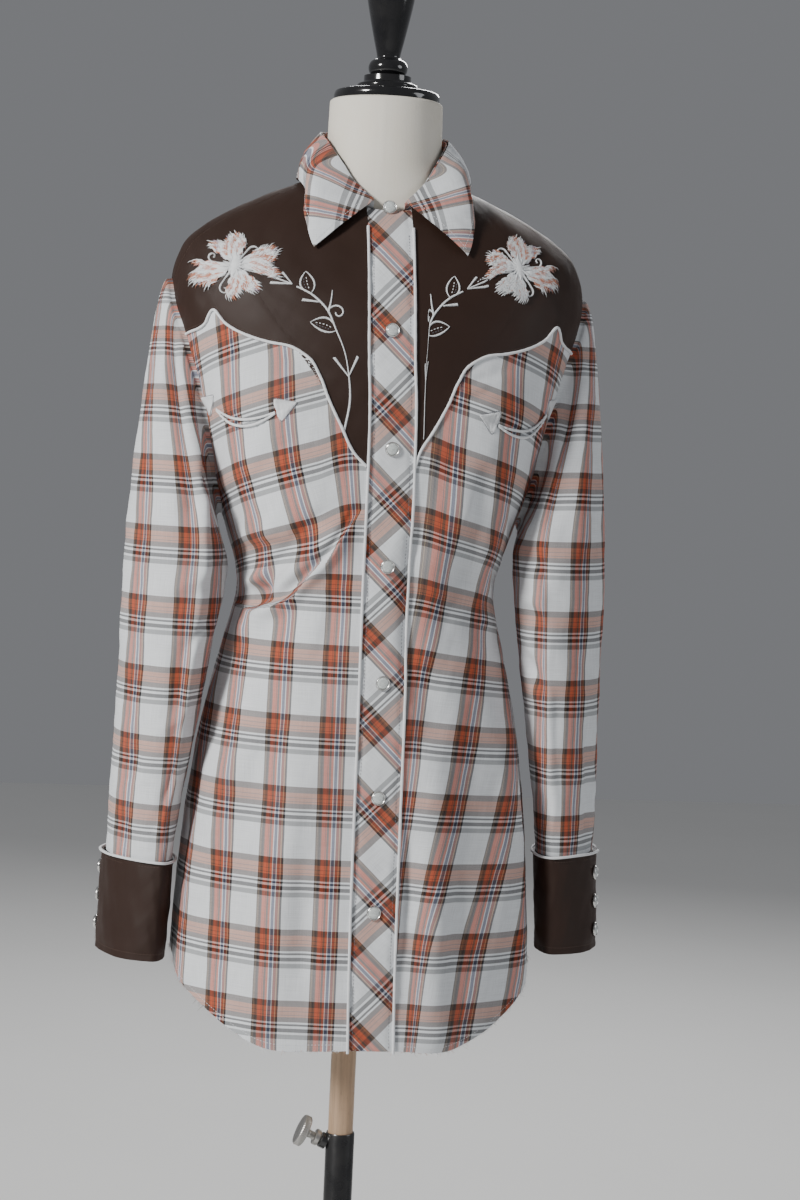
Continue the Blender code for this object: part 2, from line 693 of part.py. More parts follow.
def make_cuff(side, word):
    turns = np.linspace(0, CUFF_TURN, CUFF_STEPS + 1)
    shares = LAP_START[side] + turns
    lap = CUFF_LAP * np.clip((turns - (CUFF_TURN - 0.16)) / 0.08, 0, 1)
    out = cuff_out(shares, side)
    heights = even(SLEEVE[-1][0] - CUFF_HEIGHT, SLEEVE[-1][0] - SEAM, 2)
    inner = np.stack([cuff_path(h, shares, side) + out * lap[:, None] for h in heights])
    outer = inner + out[None] * CUFF_WALL
    wall(f"cuff_{word}", inner, outer, "brown_twill")

    shown = turns > CUFF_TURN - 0.98
    top = cuff_path(SLEEVE[-1][0], shares[shown], side)
    ring = top + out[shown] * (CUFF_WALL + lap[shown, None] + PIPING + SEAM)
    tube_along(f"cuff_piping_{word}", ring, out[shown], PIPING, "white_piping")

    place = shares[-2:-1]
    facing = cuff_out(place, side)[0]
    for k in range(CUFF_SNAPS):
        height = SLEEVE[-1][0] - CUFF_HEIGHT / 2 + (1 - k) * CUFF_SNAP_SPACE
        at = cuff_path(height, place, side)[0] + facing * (CUFF_LAP + CUFF_WALL + SNAP_SEAT)
        make_snap(f"cuff_snap_{word}_{k + 1}", at, facing)


def make_snap(name, seat, facing):
    """A pearl snap cap, domed, on its prong ring."""
    facing = unit(np.array(facing, float))
    beside = unit(np.cross(facing, np.array([0.0, 0.0, 1.0])))
    upright = np.cross(beside, facing)
    sides = SNAP_SIDES
    points, faces = [], []
    for radius, rise in SNAP_PROFILE:
        for k in range(sides):
            turn = 2 * math.pi * k / sides
            ring = math.cos(turn) * beside + math.sin(turn) * upright
            points.append(seat + SNAP_RADIUS * radius * ring + facing * SNAP_RISE * rise)
    for j in range(len(SNAP_PROFILE) - 1):
        for k in range(sides):
            a, b = j * sides + k, j * sides + (k + 1) % sides
            faces.append((a, a + sides, b + sides, b))
    faces.append(tuple(range(sides)))
    faces.append(tuple((len(SNAP_PROFILE) - 1) * sides + k for k in range(sides))[::-1])
    return add_object(name, points, faces, "pearl_snap")


def make_front_snaps():
    for number, height in enumerate(SNAP_HEIGHTS, 1):
        ring = ring_height(0.0, height)
        angle = float(placket_angle(0, ring))
        seat = torso(angle, ring, CLOTH + SNAP_SEAT)
        make_snap(f"snap_{number}", seat, torso_normal(np.array(angle), np.array(ring)))


def lip_points(side, offset, steps=LIP_STEPS):
    """Angle and true height along a pocket lip; offset moves it down from the upper one."""
    inner_angle, inner_height, outer_angle, outer_height, sag = POCKETS[side]
    points = []
    for s in even(0, 1, steps):
        bow = 4 * s * (1 - s)
        height = inner_height + (outer_height - inner_height) * s - (sag + offset) * bow
        points.append((side * (inner_angle + (outer_angle - inner_angle) * s), height))
    return points


def make_pockets():
    for side, word in ((1, "left"), (-1, "right")):
        for offset, level in ((0.0, "upper"), (LIP_SPACE, "lower")):
            row = [(a, ring_height(a, h)) for a, h in lip_points(side, offset)[1:-1]]
            row = np.array(row)
            lift = CLOTH + LIP_RADIUS + 0.0007
            points = torso(row[:, 0], row[:, 1], lift)
            out = torso_normal(row[:, 0], row[:, 1])
            tube_along(f"pocket_lip_{level}_{word}", points, out, LIP_RADIUS, "white_piping")
        ends = lip_points(side, 0)
        for at, near, end in ((ends[0], ends[1], "inner"), (ends[-1], ends[-2], "outer")):
            make_arrow(f"pocket_arrow_{end}_{word}", at, near)


def make_arrow(name, at, near):
    """An arrowhead tab that points away from the pocket's middle, lying on the front."""
    places = [(a, ring_height(a, h)) for a, h in (at, near)]
    tip_side, pocket_side = (torso(a, h, 0.0) for a, h in places)
    angle, ring = places[0]
    width, depth = float(ring_column("half_width", ring)), float(ring_column("front", ring))
    ahead = unit(tip_side - pocket_side)
    out = torso_normal(np.array(angle), np.array(ring))
    up = unit(np.cross(out, ahead))
    start = tip_side + ahead * ARROW_GAP
    flat = []
    for along, beside in ARROW_OUTLINE:
        moved = start + ahead * along * ARROW_LENGTH + up * beside * ARROW_WIDTH
        turn = math.degrees(math.atan2(moved[0], -moved[1] * width / depth))
        height = ring_height(turn, moved[2])
        flat.append((turn, height))
    flat = np.array(flat)
    low = torso(flat[:, 0], flat[:, 1], CLOTH + ARROW_SEAT)
    high = torso(flat[:, 0], flat[:, 1], CLOTH + ARROW_SEAT + ARROW_WALL)
    count = len(ARROW_OUTLINE)
    sides = [(k, (k + 1) % count, count + (k + 1) % count, count + k) for k in range(count)]
    fan = [(0, 1, 2), (0, 2, 3), (0, 3, 4)]
    faces = sides + [tuple(count + i for i in f) for f in fan] + [f[::-1] for f in fan]
    add_object(name, list(low) + list(high), faces, "white_piping")


def ring_point(angle, height, radius):
    turn = np.radians(angle)
    return np.stack([radius * np.sin(turn), -radius * np.cos(turn), height + 0 * turn], -1)


def make_collar():
    half = np.linspace(FOLD_LINE[0][0], 180, COLLAR_STEPS + 1)
    angles = np.concatenate([half, (360 - half)[::-1][1:]])
    folded = np.where(angles > 180, 360 - angles, angles)
    fold_height = smooth_read(FOLD_LINE, 1, folded)
    fold_radius = smooth_read(FOLD_LINE, 2, folded)
    fold = ring_point(angles, fold_height, fold_radius)

    out = unit(ring_point(angles, 0 * angles, np.ones_like(angles)))
    foot = torso(angles, np.full_like(angles, NECK), 0.0) - out * SEAM * 5
    outer = np.stack([foot, (foot + fold) / 2, fold])
    wall("collar_stand", outer - out * CLOTH, outer, "plaid_cloth")

    shares = np.linspace(0, 1, len(half))
    edge_rows = np.array(LEAF_EDGE)
    walked = np.linspace(0, 1, len(edge_rows))
    edge_angle, edge_ring, edge_lift = (np.interp(shares, walked, edge_rows[:, k]) for k in range(3))
    edge_angle = np.concatenate([edge_angle, (360 - edge_angle)[::-1][1:]])
    edge_ring = np.concatenate([edge_ring, edge_ring[::-1][1:]])
    edge_lift = np.concatenate([edge_lift, edge_lift[::-1][1:]])
    edge = torso(edge_angle, edge_ring, edge_lift + CLOTH)
    top = fold + out * (CLOTH + SEAM * 2) + np.array([0, 0, SEAM * 3])
    rows = []
    for s in even(0, 1, LEAF_STEPS):
        rows.append(top + (edge - top) * s + out * LEAF_ROLL * 4 * s * (1 - s))
    outer = np.stack(rows)[::-1]
    normals = grid_normals(outer, False)
    inner = outer - normals * CLOTH
    wall("collar_leaf", inner, outer, "plaid_cloth")

    seat = torso(0.0, NECK, CLOTH) - np.array([0, COLLAR_SNAP_OUT, 0])
    seat[2] = COLLAR_SNAP_HEIGHT
    make_snap("snap_collar", seat, COLLAR_SNAP_FACING)


def make_form():
    turns = np.linspace(0, 360, FORM_SIDES, endpoint=False)
    rings = []
    for height in FORM_RING_HEIGHTS:
        side, front, back = (smooth_read(FORM_INSET, k, height) for k in (1, 2, 3))
        squared = np.cos(np.radians(turns)) ** 2
        inset = side + (np.where(np.cos(np.radians(turns)) > 0, front, back) - side) * squared
        around = np.full_like(turns, height)
        bust = sum_of_bust(turns, height)
        base = torso_base(turns, around) + torso_normal(turns, around) * (bust - inset)[:, None]
        if height <= FORM_BOTTOM:
            base[:, 2] = FORM_BOTTOM
        rings.append(base)
    for height, radius in FORM_NECK:
        rings.append(ring_point(turns, np.full_like(turns, height), np.full_like(turns, radius)))
    grid = np.stack(rings)
    rows, count = grid.shape[:2]
    socket = [ring_point(turns, np.full_like(turns, z), np.full_like(turns, SOCKET_RADIUS))
              for z in (FORM_BOTTOM, POLE_TOP + SEAM)]
    points = list(grid.reshape(-1, 3)) + [p for ring in socket for p in ring]
    low, high = rows * count, rows * count + count
    faces = []
    for i in range(count):
        k = (i + 1) % count
        for j in range(rows - 1):
            a = j * count
            faces.append((a + i, a + k, a + count + k, a + count + i))
        faces.append((low + i, low + k, k, i))
        faces.append((high + i, high + k, low + k, low + i))
    faces.append(tuple(high + i for i in range(count))[::-1])
    faces.append(tuple((rows - 1) * count + i for i in range(count)))
    add_object("form_torso", points, faces, "form_canvas")


def sum_of_bust(angle, height):
    """The two fullest forms of the chest, which the form shares with the cloth."""
    kept = FOLDS[:2]
    around = (np.asarray(angle, float) + 180) % 360 - 180
    half_width = float(ring_column("half_width", height))
    total = np.zeros_like(around)
    for angle_a, height_a, _, _, width, rise in kept:
        x = half_width * np.radians((around - angle_a + 180) % 360 - 180)
        total += (rise - 0.001) * np.exp(-((np.hypot(x, height - height_a) / width) ** 2))
    return total


def make_neck_cap_and_finial():
    turned("neck_cap", [(r, RIM + z) for r, z in CAP_PROFILE], "black_lacquer", 28)
    turned("finial", [(r, RIM + z) for r, z in FINIAL_PROFILE], "black_lacquer", 20)


def cylinder(name, radius, start, end, finish, sides=24):
    """A solid cylinder between two points."""
    start, end = np.array(start, float), np.array(end, float)
    axis = unit(end - start)
    beside = unit(np.cross(axis, np.array([0.0, 1.0, 0.0])))
    upright = np.cross(axis, beside)
    points = []
    for at in (start, end):
        for k in range(sides):
            turn = 2 * math.pi * k / sides
            points.append(at + radius * (math.cos(turn) * beside + math.sin(turn) * upright))
    faces = [(k, (k + 1) % sides, sides + (k + 1) % sides, sides + k) for k in range(sides)]
    faces += [tuple(range(sides))[::-1], tuple(range(sides, 2 * sides))]
    return add_object(name, points, faces, finish)


def cut(body, cutter):
    cutter.hide_render = True
    cutter.display_type = "WIRE"
    boolean = body.modifiers.new("cut", "BOOLEAN")
    boolean.operation = "DIFFERENCE"
    boolean.solver = "EXACT"
    boolean.object = cutter


def screw_line():
    """A point of the clamp screw's axis in the tube's middle, and its way out."""
    tilt = math.radians(SCREW_TILT)
    return np.array([0, 0, SCREW_HEIGHT]), np.array([-math.cos(tilt), 0, math.sin(tilt)])


def make_stand():
    base = turned("base_plate", [
        (BASE_RADIUS, 0.0),
        (BASE_RADIUS, BASE_EDGE * 0.7),
        (BASE_RADIUS - 0.006, BASE_EDGE),
        (HUB_RADIUS + 0.03, BASE_EDGE + 0.006),
        (HUB_RADIUS + 0.004, BASE_EDGE + 0.014),
        (HUB_RADIUS, 0.035),
        (HUB_RADIUS, HUB_TOP),
    ], "black_steel", 48)
    cut(base, cylinder("base_socket_cut", TUBE_RADIUS + SEAM, (0, 0, TUBE_SEAT - SEAM),
                       (0, 0, HUB_TOP + 0.01), "black_steel"))
    tube = cylinder("tube", TUBE_RADIUS, (0, 0, TUBE_SEAT), (0, 0, TUBE_TOP), "black_steel")
    cut(tube, cylinder("tube_bore_cut", TUBE_BORE, (0, 0, TUBE_SEAT + 0.004),
                       (0, 0, TUBE_TOP + 0.01), "black_steel"))
    cylinder("wood_pole", POLE_RADIUS, (0, 0, POLE_BOTTOM), (0, 0, POLE_TOP), "beech_wood")

    middle, way = screw_line()
    hole = SCREW_RADIUS + SCREW_CLEARANCE
    cut(tube, cylinder("tube_hole_cut", hole, middle, middle + way * 0.03, "black_steel", 16))
    boss = cylinder("screw_boss", BOSS_RADIUS, middle, middle + way * BOSS_OUT, "black_steel", 20)
    cut(boss, cylinder("boss_tube_cut", TUBE_RADIUS + SEAM, (0, 0, SCREW_HEIGHT - 0.05),
                       (0, 0, SCREW_HEIGHT + 0.05), "black_steel"))
    cut(boss, cylinder("boss_bore_cut", hole, middle - way * 0.002, middle + way * 0.05,
                       "black_steel", 16))
    make_screw(middle, way)


def make_screw(middle, way):
    """Thumb screw: shaft, lock collar and knurled knob, turned about its own axis."""
    tip = (POLE_RADIUS + SEAM) / math.cos(math.radians(SCREW_TILT)) + SCREW_TIP_ROOM
    nut_start, nut_end = BOSS_OUT + NUT_GAP, BOSS_OUT + NUT_GAP + NUT_WALL
    knob_end = KNOB_OUT + KNOB_WALL
    profile = (
        (SCREW_RADIUS - SCREW_CHAMFER, tip),
        (SCREW_RADIUS, tip + SCREW_CHAMFER),
        (SCREW_RADIUS, nut_start),
        (NUT_RADIUS, nut_start),
        (NUT_RADIUS, nut_end),
        (SCREW_RADIUS, nut_end),
        (SCREW_RADIUS, KNOB_OUT - KNOB_FLARE),
        (NUT_RADIUS, KNOB_OUT),
        (KNOB_RADIUS - SCREW_CHAMFER, KNOB_OUT),
        (KNOB_RADIUS, KNOB_OUT + SCREW_CHAMFER),
        (KNOB_RADIUS, knob_end - SCREW_CHAMFER),
        (KNOB_RADIUS - SCREW_CHAMFER, knob_end),
    )
    beside = np.array([0.0, 1.0, 0.0])
    upright = np.cross(way, beside)
    sides = 20
    points, faces = [], []
    for radius, out in profile:
        for k in range(sides):
            turn = 2 * math.pi * k / sides
            ring = math.cos(turn) * beside + math.sin(turn) * upright
            points.append(middle + way * out + radius * ring)
    for j in range(len(profile) - 1):
        for k in range(sides):
            a, b = j * sides + k, j * sides + (k + 1) % sides
            faces.append((a, b, b + sides, a + sides))
    faces.append(tuple(range(sides))[::-1])
    faces.append(tuple((len(profile) - 1) * sides + k for k in range(sides)))
    add_object("clamp_screw", points, faces, "bright_steel")


def main():
    for old in list(bpy.data.objects):
        bpy.data.objects.remove(old)
    make_form()
    make_neck_cap_and_finial()
    make_stand()
    make_panels()
    make_placket()
    for side, word in ((1, "left"), (-1, "right")):
        make_sleeve(side, word)
        make_cuff(side, word)
    make_collar()
    make_front_snaps()
    make_pockets()


main()
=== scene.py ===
"""Western snap shirt on a limbless dress form and stand: the looks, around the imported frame.

The cloth is rebuilt finely on the frame's own surfaces: a torso surface addressed by an
angle round the body (0 in front, 90 at the wearer's left) and the height of its ring at the
side, and a tube of rings for each sleeve. Side 1 is the wearer's left, -1 the right.
"""

import math

import bpy
import numpy as np
from bpy.props import FloatProperty, FloatVectorProperty, IntProperty, PointerProperty
from bpy.types import Operator, Panel, PropertyGroup
from mathutils import Matrix, Vector


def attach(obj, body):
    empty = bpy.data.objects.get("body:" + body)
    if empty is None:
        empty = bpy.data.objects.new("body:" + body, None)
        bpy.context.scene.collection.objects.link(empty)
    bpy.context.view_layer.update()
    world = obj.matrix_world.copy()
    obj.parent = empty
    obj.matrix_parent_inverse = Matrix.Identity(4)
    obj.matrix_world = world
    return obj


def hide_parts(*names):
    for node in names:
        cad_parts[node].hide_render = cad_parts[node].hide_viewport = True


bl_info = {
    "name": "Western Snap Shirt",
    "version": (1, 0, 0),
    "blender": (4, 5, 0),
    "location": "View3D > Sidebar > Shirt",
    "description": "Plaid western shirt with embroidered yokes, on a dress form",
    "category": "Add Mesh",
}

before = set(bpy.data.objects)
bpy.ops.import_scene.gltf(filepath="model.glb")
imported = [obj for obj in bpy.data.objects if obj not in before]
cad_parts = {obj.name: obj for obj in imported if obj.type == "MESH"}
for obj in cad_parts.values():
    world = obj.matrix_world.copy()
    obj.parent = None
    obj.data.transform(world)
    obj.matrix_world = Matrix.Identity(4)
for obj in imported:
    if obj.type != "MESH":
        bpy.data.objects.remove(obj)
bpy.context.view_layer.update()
TWO_PI = 2 * math.pi
SIDES = ((1, "left"), (-1, "right"))

CLOTH = 0.0014  # room that a cloth panel takes on the torso surface
SEAM = 0.0003
NECK = 1.414

# Rings of the torso surface: height, half width, front, back, front dip, back dip.
RINGS = (
    (0.580, 0.172, 0.130, 0.126, 0.000, 0.000),
    (0.700, 0.168, 0.129, 0.124, 0.000, 0.000),
    (0.780, 0.163, 0.127, 0.121, 0.000, 0.000),
    (0.850, 0.156, 0.124, 0.116, 0.000, 0.000),
    (0.920, 0.145, 0.120, 0.108, 0.000, 0.000),
    (0.980, 0.131, 0.117, 0.097, 0.000, 0.000),
    (1.040, 0.119, 0.116, 0.090, 0.000, 0.000),
    (1.090, 0.132, 0.118, 0.091, 0.000, 0.000),
    (1.140, 0.150, 0.121, 0.096, 0.000, 0.000),
    (1.187, 0.162, 0.124, 0.102, 0.001, 0.000),
    (1.220, 0.171, 0.124, 0.105, 0.008, 0.002),
    (1.260, 0.182, 0.122, 0.107, 0.024, 0.006),
    (1.305, 0.191, 0.119, 0.106, 0.040, 0.010),
    (1.335, 0.187, 0.115, 0.104, 0.050, 0.013),
    (1.356, 0.175, 0.110, 0.101, 0.054, 0.014),
    (1.372, 0.154, 0.102, 0.097, 0.052, 0.012),
    (1.391, 0.119, 0.089, 0.088, 0.045, 0.006),
    (1.404, 0.090, 0.076, 0.078, 0.037, 0.000),
    (NECK, 0.064, 0.060, 0.064, 0.031, -0.008),
)
HALF_WIDTH, FRONT, BACK, FRONT_DIP, BACK_DIP = range(1, 6)
FULL_CORNERS = 0.03

# Largest folds, as in the frame: angle, height, to angle, to height, width, rise.
FOLDS = (
    (-38, 1.195, -36, 1.120, 0.052, 0.010),
    (38, 1.195, 36, 1.120, 0.052, 0.010),
    (-18, 1.085, -62, 1.000, 0.014, 0.006),
    (-30, 1.060, -66, 1.040, 0.012, 0.004),
    (40, 1.090, 66, 1.060, 0.013, 0.003),
    (-26, 0.900, -30, 0.640, 0.024, 0.005),
    (-62, 0.860, -66, 0.680, 0.026, 0.004),
    (20, 0.880, 22, 0.640, 0.020, 0.007),
    (58, 0.900, 62, 0.690, 0.028, 0.004),
    (150, 1.020, 154, 0.640, 0.028, 0.006),
    (180, 1.060, 182, 0.640, 0.028, 0.005),
    (211, 1.020, 206, 0.640, 0.028, 0.006),
)
BUST_FOLDS = 2  # the first rows, which the form under the cloth shares

# Creases of the worn cloth: angle, height, to angle, to height, bow, width, rise.
CREASES = (
    (-15, 1.120, -66, 0.985, 0.010, 0.0075, -0.0055),
    (-12, 1.098, -60, 0.985, 0.010, 0.0065, 0.0030),
    (-36, 1.085, -72, 1.075, -0.006, 0.0060, -0.0040),
    (-40, 1.064, -74, 1.010, 0.006, 0.0055, 0.0030),
    (-44, 1.035, -72, 1.030, 0.004, 0.0050, -0.0035),
    (-50, 1.110, -66, 1.050, 0.004, 0.0070, 0.0030),
    (-56, 1.130, -74, 1.115, -0.003, 0.0055, -0.0020),
    (-26, 1.180, -50, 1.110, 0.005, 0.0080, -0.0018),
    (-17, 1.060, -21, 0.960, 0.002, 0.0080, -0.0016),
    (-14, 1.000, -16, 0.860, -0.002, 0.0095, 0.0014),
    (-30, 0.960, -44, 0.800, 0.004, 0.0130, -0.0022),
    (-48, 0.960, -54, 0.740, 0.004, 0.0130, 0.0022),
    (-20, 0.860, -18, 0.660, 0.003, 0.0110, -0.0030),
    (-13, 0.800, -13, 0.650, 0.002, 0.0075, 0.0022),
    (-70, 0.960, -76, 0.740, 0.003, 0.0100, -0.0024),
    (14, 1.130, 15, 0.930, 0.003, 0.0085, -0.0040),
    (20, 1.120, 19, 0.960, -0.002, 0.0090, 0.0018),
    (33, 1.165, 30, 1.000, -0.006, 0.0080, -0.0042),
    (39, 1.150, 44, 1.020, -0.006, 0.0080, 0.0022),
    (50, 1.135, 70, 1.090, 0.004, 0.0070, -0.0026),
    (52, 1.080, 78, 1.040, 0.004, 0.0065, -0.0030),
    (48, 1.020, 76, 1.010, 0.005, 0.0070, 0.0022),
    (26, 1.000, 14, 0.840, 0.004, 0.0110, -0.0026),
    (40, 0.960, 34, 0.720, 0.006, 0.0130, -0.0024),
    (52, 0.900, 47, 0.700, -0.004, 0.0110, 0.0020),
    (13, 0.860, 13, 0.650, 0.001, 0.0070, -0.0045),
    (31, 0.820, 29, 0.650, 0.003, 0.0110, -0.0030),
    (72, 0.930, 74, 0.730, 0.003, 0.0110, -0.0022),
    (104, 1.060, 128, 0.990, 0.006, 0.0080, -0.0030),
    (110, 1.020, 140, 1.010, 0.006, 0.0075, 0.0026),
    (126, 1.120, 150, 1.040, 0.008, 0.0100, -0.0026),
    (140, 0.980, 136, 0.720, 0.006, 0.0140, -0.0030),
    (166, 1.080, 168, 0.800, 0.004, 0.0110, -0.0026),
    (196, 1.100, 192, 0.760, -0.004, 0.0110, -0.0026),
    (224, 0.990, 220, 0.720, 0.006, 0.0140, -0.0030),
    (254, 1.060, 228, 0.990, -0.006, 0.0080, -0.0030),
    (248, 1.010, 222, 1.030, -0.006, 0.0075, 0.0026),
    (214, 1.130, 236, 1.050, -0.008, 0.0100, -0.0026),
    (118, 0.920, 116, 0.720, 0.004, 0.0110, 0.0026),
    (244, 0.900, 242, 0.720, 0.004, 0.0110, 0.0026),
    (-40, 1.330, -62, 1.296, 0.004, 0.0090, -0.0012),
    (-22, 1.250, -31, 1.262, 0.002, 0.0050, -0.0012),
    (-19, 1.232, -27, 1.246, 0.002, 0.0045, 0.0010),
    (24, 1.246, 35, 1.262, 0.002, 0.0050, -0.0012),
    (21, 1.226, 29, 1.244, 0.002, 0.0045, 0.0010),
    (52, 1.335, 66, 1.300, 0.004, 0.0090, -0.0012),
)

HALF_PLACKET = 0.0205
DRIFT = (
    (0.580, 0.010),
    (0.700, 0.007),
    (1.000, 0.006),
    (1.200, 0.004),
    (1.300, 0.001),
    (NECK, 0.000),
)
HEM = (
    (0, 0.628),
    (15, 0.625),
    (28, 0.625),
    (40, 0.637),
    (50, 0.650),
    (58, 0.661),
    (70, 0.677),
    (82, 0.692),
    (95, 0.692),
    (110, 0.672),
    (128, 0.642),
    (150, 0.618),
    (180, 0.608),
)
SIDE_SEAM_HEM_ANGLE = 80
UNDERARM_ANGLE, UNDERARM = 88, 1.100
YOKE_POINT = 1.150
FRONT_YOKE = (  # angle and true height, from the placket's side to the armhole's
    (10.5, 1.163),
    (14.5, 1.186),
    (18.0, 1.210),
    (20.0, 1.230),
    (22.5, 1.245),
    (27.0, 1.254),
    (34.0, 1.258),
    (42.0, 1.265),
    (47.5, 1.273),
    (52.0, 1.285),
    (57.0, 1.273),
)
BACK_YOKE = ((120, 1.249), (135, 1.242), (150, 1.231), (165, 1.217), (180, 1.200))
ARMHOLE = (
    (UNDERARM_ANGLE, UNDERARM),
    (79, 1.113),
    (73, 1.140),
    (70, 1.175),
    (69.5, 1.215),
    (72.5, 1.266),
    (76, 1.287),
    (82, 1.308),
    (90, 1.317),
    (98, 1.308),
    (104, 1.283),
    (108, 1.246),
    (110, 1.205),
    (109, 1.165),
    (104, 1.130),
    (96.5, 1.108),
)
YOKE_END, SHOULDER_END, BACK_YOKE_END = 5, 7, 11  # places along ARMHOLE
SHOULDER_SEAM = ((77.0, 1.338), (75.0, 1.362), (74.5, 1.382), (74.0, 1.400), (74.0, NECK))
NECK_ANGLE = 74

# Sleeve rings: height, across, forward, half thickness, half width, turn.
SLEEVE = (
    (0.780, 0.2020, 0.004, 0.026, 0.053, 22),
    (0.835, 0.1985, 0.008, 0.029, 0.055, 22),
    (0.880, 0.1940, 0.012, 0.032, 0.058, 22),
    (0.925, 0.1900, 0.015, 0.035, 0.061, 22),
    (0.970, 0.1860, 0.017, 0.038, 0.064, 22),
    (1.015, 0.1825, 0.018, 0.041, 0.066, 22),
    (1.060, 0.1800, 0.018, 0.042, 0.067, 22),
)
WRIST, ELBOW = SLEEVE[0][0], SLEEVE[-1][0]
CUFF_WALL, CUFF_HEIGHT, CUFF_LEAN = 0.0018, 0.092, 0.004
CUFF_TURN, CUFF_LAP = 1.07, 0.0027
SLEEVE_SHIFT = {-1: 0.0, 1: 0.014}
LAP_START = {-1: 0.64, 1: 0.46}
SECTION_POINTINESS = 1.25
ARMHOLE_RISE = 0.004

# Sleeve creases: share of a turn (0 faces the body, 0.25 the front), height, to share,
# to height, bow, width, rise.
SLEEVE_CREASES = {
    -1: (
        (0.34, 1.290, 0.31, 1.000, 0.006, 0.0085, -0.0050),
        (0.30, 1.020, 0.27, 0.840, -0.004, 0.0080, -0.0040),
        (0.24, 1.200, 0.26, 1.020, 0.004, 0.0090, 0.0030),
        (0.18, 1.150, 0.36, 1.100, 0.006, 0.0080, -0.0030),
        (0.20, 1.060, 0.40, 1.030, 0.005, 0.0070, 0.0026),
        (0.16, 1.010, 0.34, 0.960, -0.004, 0.0070, -0.0026),
        (0.22, 0.930, 0.38, 0.900, 0.004, 0.0070, 0.0020),
        (0.24, 0.880, 0.34, 0.800, 0.003, 0.0060, -0.0030),
        (0.42, 0.900, 0.46, 0.790, 0.003, 0.0070, -0.0020),
        (0.38, 1.260, 0.46, 1.150, 0.004, 0.0110, 0.0020),
        (0.06, 1.080, 0.18, 0.980, 0.004, 0.0090, 0.0030),
        (0.66, 1.200, 0.62, 0.950, 0.006, 0.0100, -0.0036),
        (0.78, 1.120, 0.58, 1.060, 0.006, 0.0080, -0.0030),
        (0.82, 1.020, 0.62, 0.980, 0.005, 0.0080, 0.0028),
        (0.80, 0.940, 0.70, 0.800, 0.005, 0.0090, -0.0028),
        (0.92, 1.100, 0.86, 0.900, 0.004, 0.0090, 0.0024),
    ),
    1: (
        (0.30, 1.270, 0.27, 1.040, 0.004, 0.0090, -0.0040),
        (0.36, 1.240, 0.37, 1.000, -0.003, 0.0100, 0.0024),
        (0.13, 1.080, 0.30, 1.040, 0.005, 0.0075, -0.0036),
        (0.12, 1.020, 0.28, 1.010, -0.004, 0.0070, 0.0030),
        (0.10, 0.980, 0.26, 0.930, 0.004, 0.0070, -0.0034),
        (0.30, 0.980, 0.31, 0.800, 0.002, 0.0090, -0.0018),
        (0.44, 0.930, 0.45, 0.790, 0.003, 0.0070, -0.0026),
        (0.50, 0.860, 0.49, 0.790, 0.002, 0.0060, 0.0022),
        (0.42, 1.200, 0.48, 1.050, 0.004, 0.0110, -0.0022),
        (0.66, 1.200, 0.62, 0.950, 0.006, 0.0100, -0.0036),
        (0.78, 1.120, 0.58, 1.060, 0.006, 0.0080, -0.0030),
        (0.82, 1.020, 0.62, 0.980, 0.005, 0.0080, 0.0028),
        (0.80, 0.940, 0.70, 0.800, 0.005, 0.0090, -0.0028),
        (0.92, 1.100, 0.86, 0.900, 0.004, 0.0090, 0.0024),
    ),
}

# Collar: fold line (angle, height, radius) and leaf edge (angle, height, lift).
FOLD_LINE = (
    (13, 1.391, 0.0620),
    (32, 1.409, 0.0595),
    (48, 1.428, 0.0585),
    (68, 1.446, 0.0580),
    (90, 1.455, 0.0580),
    (125, 1.460, 0.0590),
    (180, 1.463, 0.0600),
)
LEAF_EDGE = (
    (29.0, 1.3805, 0.0040),
    (40.0, 1.3930, 0.0050),
    (56.0, 1.4050, 0.0050),
    (76.0, 1.4078, 0.0050),
    (95.0, 1.4085, 0.0050),
    (130.0, 1.4085, 0.0050),
    (180.0, 1.4090, 0.0050),
)
LEAF_ROLL = 0.006

# Pockets: inner angle, inner height, outer angle, outer height, sag.
POCKETS = {-1: (33.0, 1.198, 61.0, 1.199, 0.009), 1: (33.4, 1.196, 63.0, 1.209, 0.011)}
LIP_SPACE = 0.0058
ARROW_GAP = 0.001
SNAP_HEIGHTS = (1.2725, 1.168, 1.063, 0.958, 0.855, 0.752)
COLLAR_SNAP_HEIGHT, COLLAR_SNAP_OUT, COLLAR_SNAP_FACING = 1.3863, 0.0028, (0, -1, 0.25)
SNAP_RISE, SNAP_SEAT = 0.0032, 0.0006
CUFF_SNAPS, CUFF_SNAP_SPACE = 3, 0.027

# Form: height, and how far inside the torso surface it lies at the side, front and back.
FORM_INSET = (
    (0.672, 0.022, 0.028, 0.020),
    (0.690, 0.014, 0.022, 0.014),
    (0.780, 0.012, 0.020, 0.011),
    (0.850, 0.011, 0.019, 0.010),
    (0.920, 0.012, 0.022, 0.010),
    (0.980, 0.012, 0.026, 0.010),
    (1.040, 0.011, 0.026, 0.009),
    (1.090, 0.010, 0.018, 0.006),
    (1.140, 0.007, 0.009, 0.004),
    (1.187, 0.0045, 0.0055, 0.0045),
    (1.260, 0.0050, 0.0060, 0.0050),
    (1.335, 0.0080, 0.0070, 0.0080),
    (1.372, 0.0080, 0.0080, 0.0090),
    (1.404, 0.0080, 0.0080, 0.0080),
    (NECK, 0.0069, 0.0059, 0.0064),
)
FORM_NECK = ((1.428, 0.0545), (1.445, 0.0535), (1.466, 0.0530), (1.4860, 0.0525))
RIM, RIM_ROUND = 1.4890, 0.003
POLE_RADIUS, POLE_BOTTOM, POLE_TOP = 0.012, 0.20, 0.745
TUBE_RADIUS, TUBE_BORE, TUBE_TOP, TUBE_SEAT = 0.0137, 0.0124, 0.516, 0.012
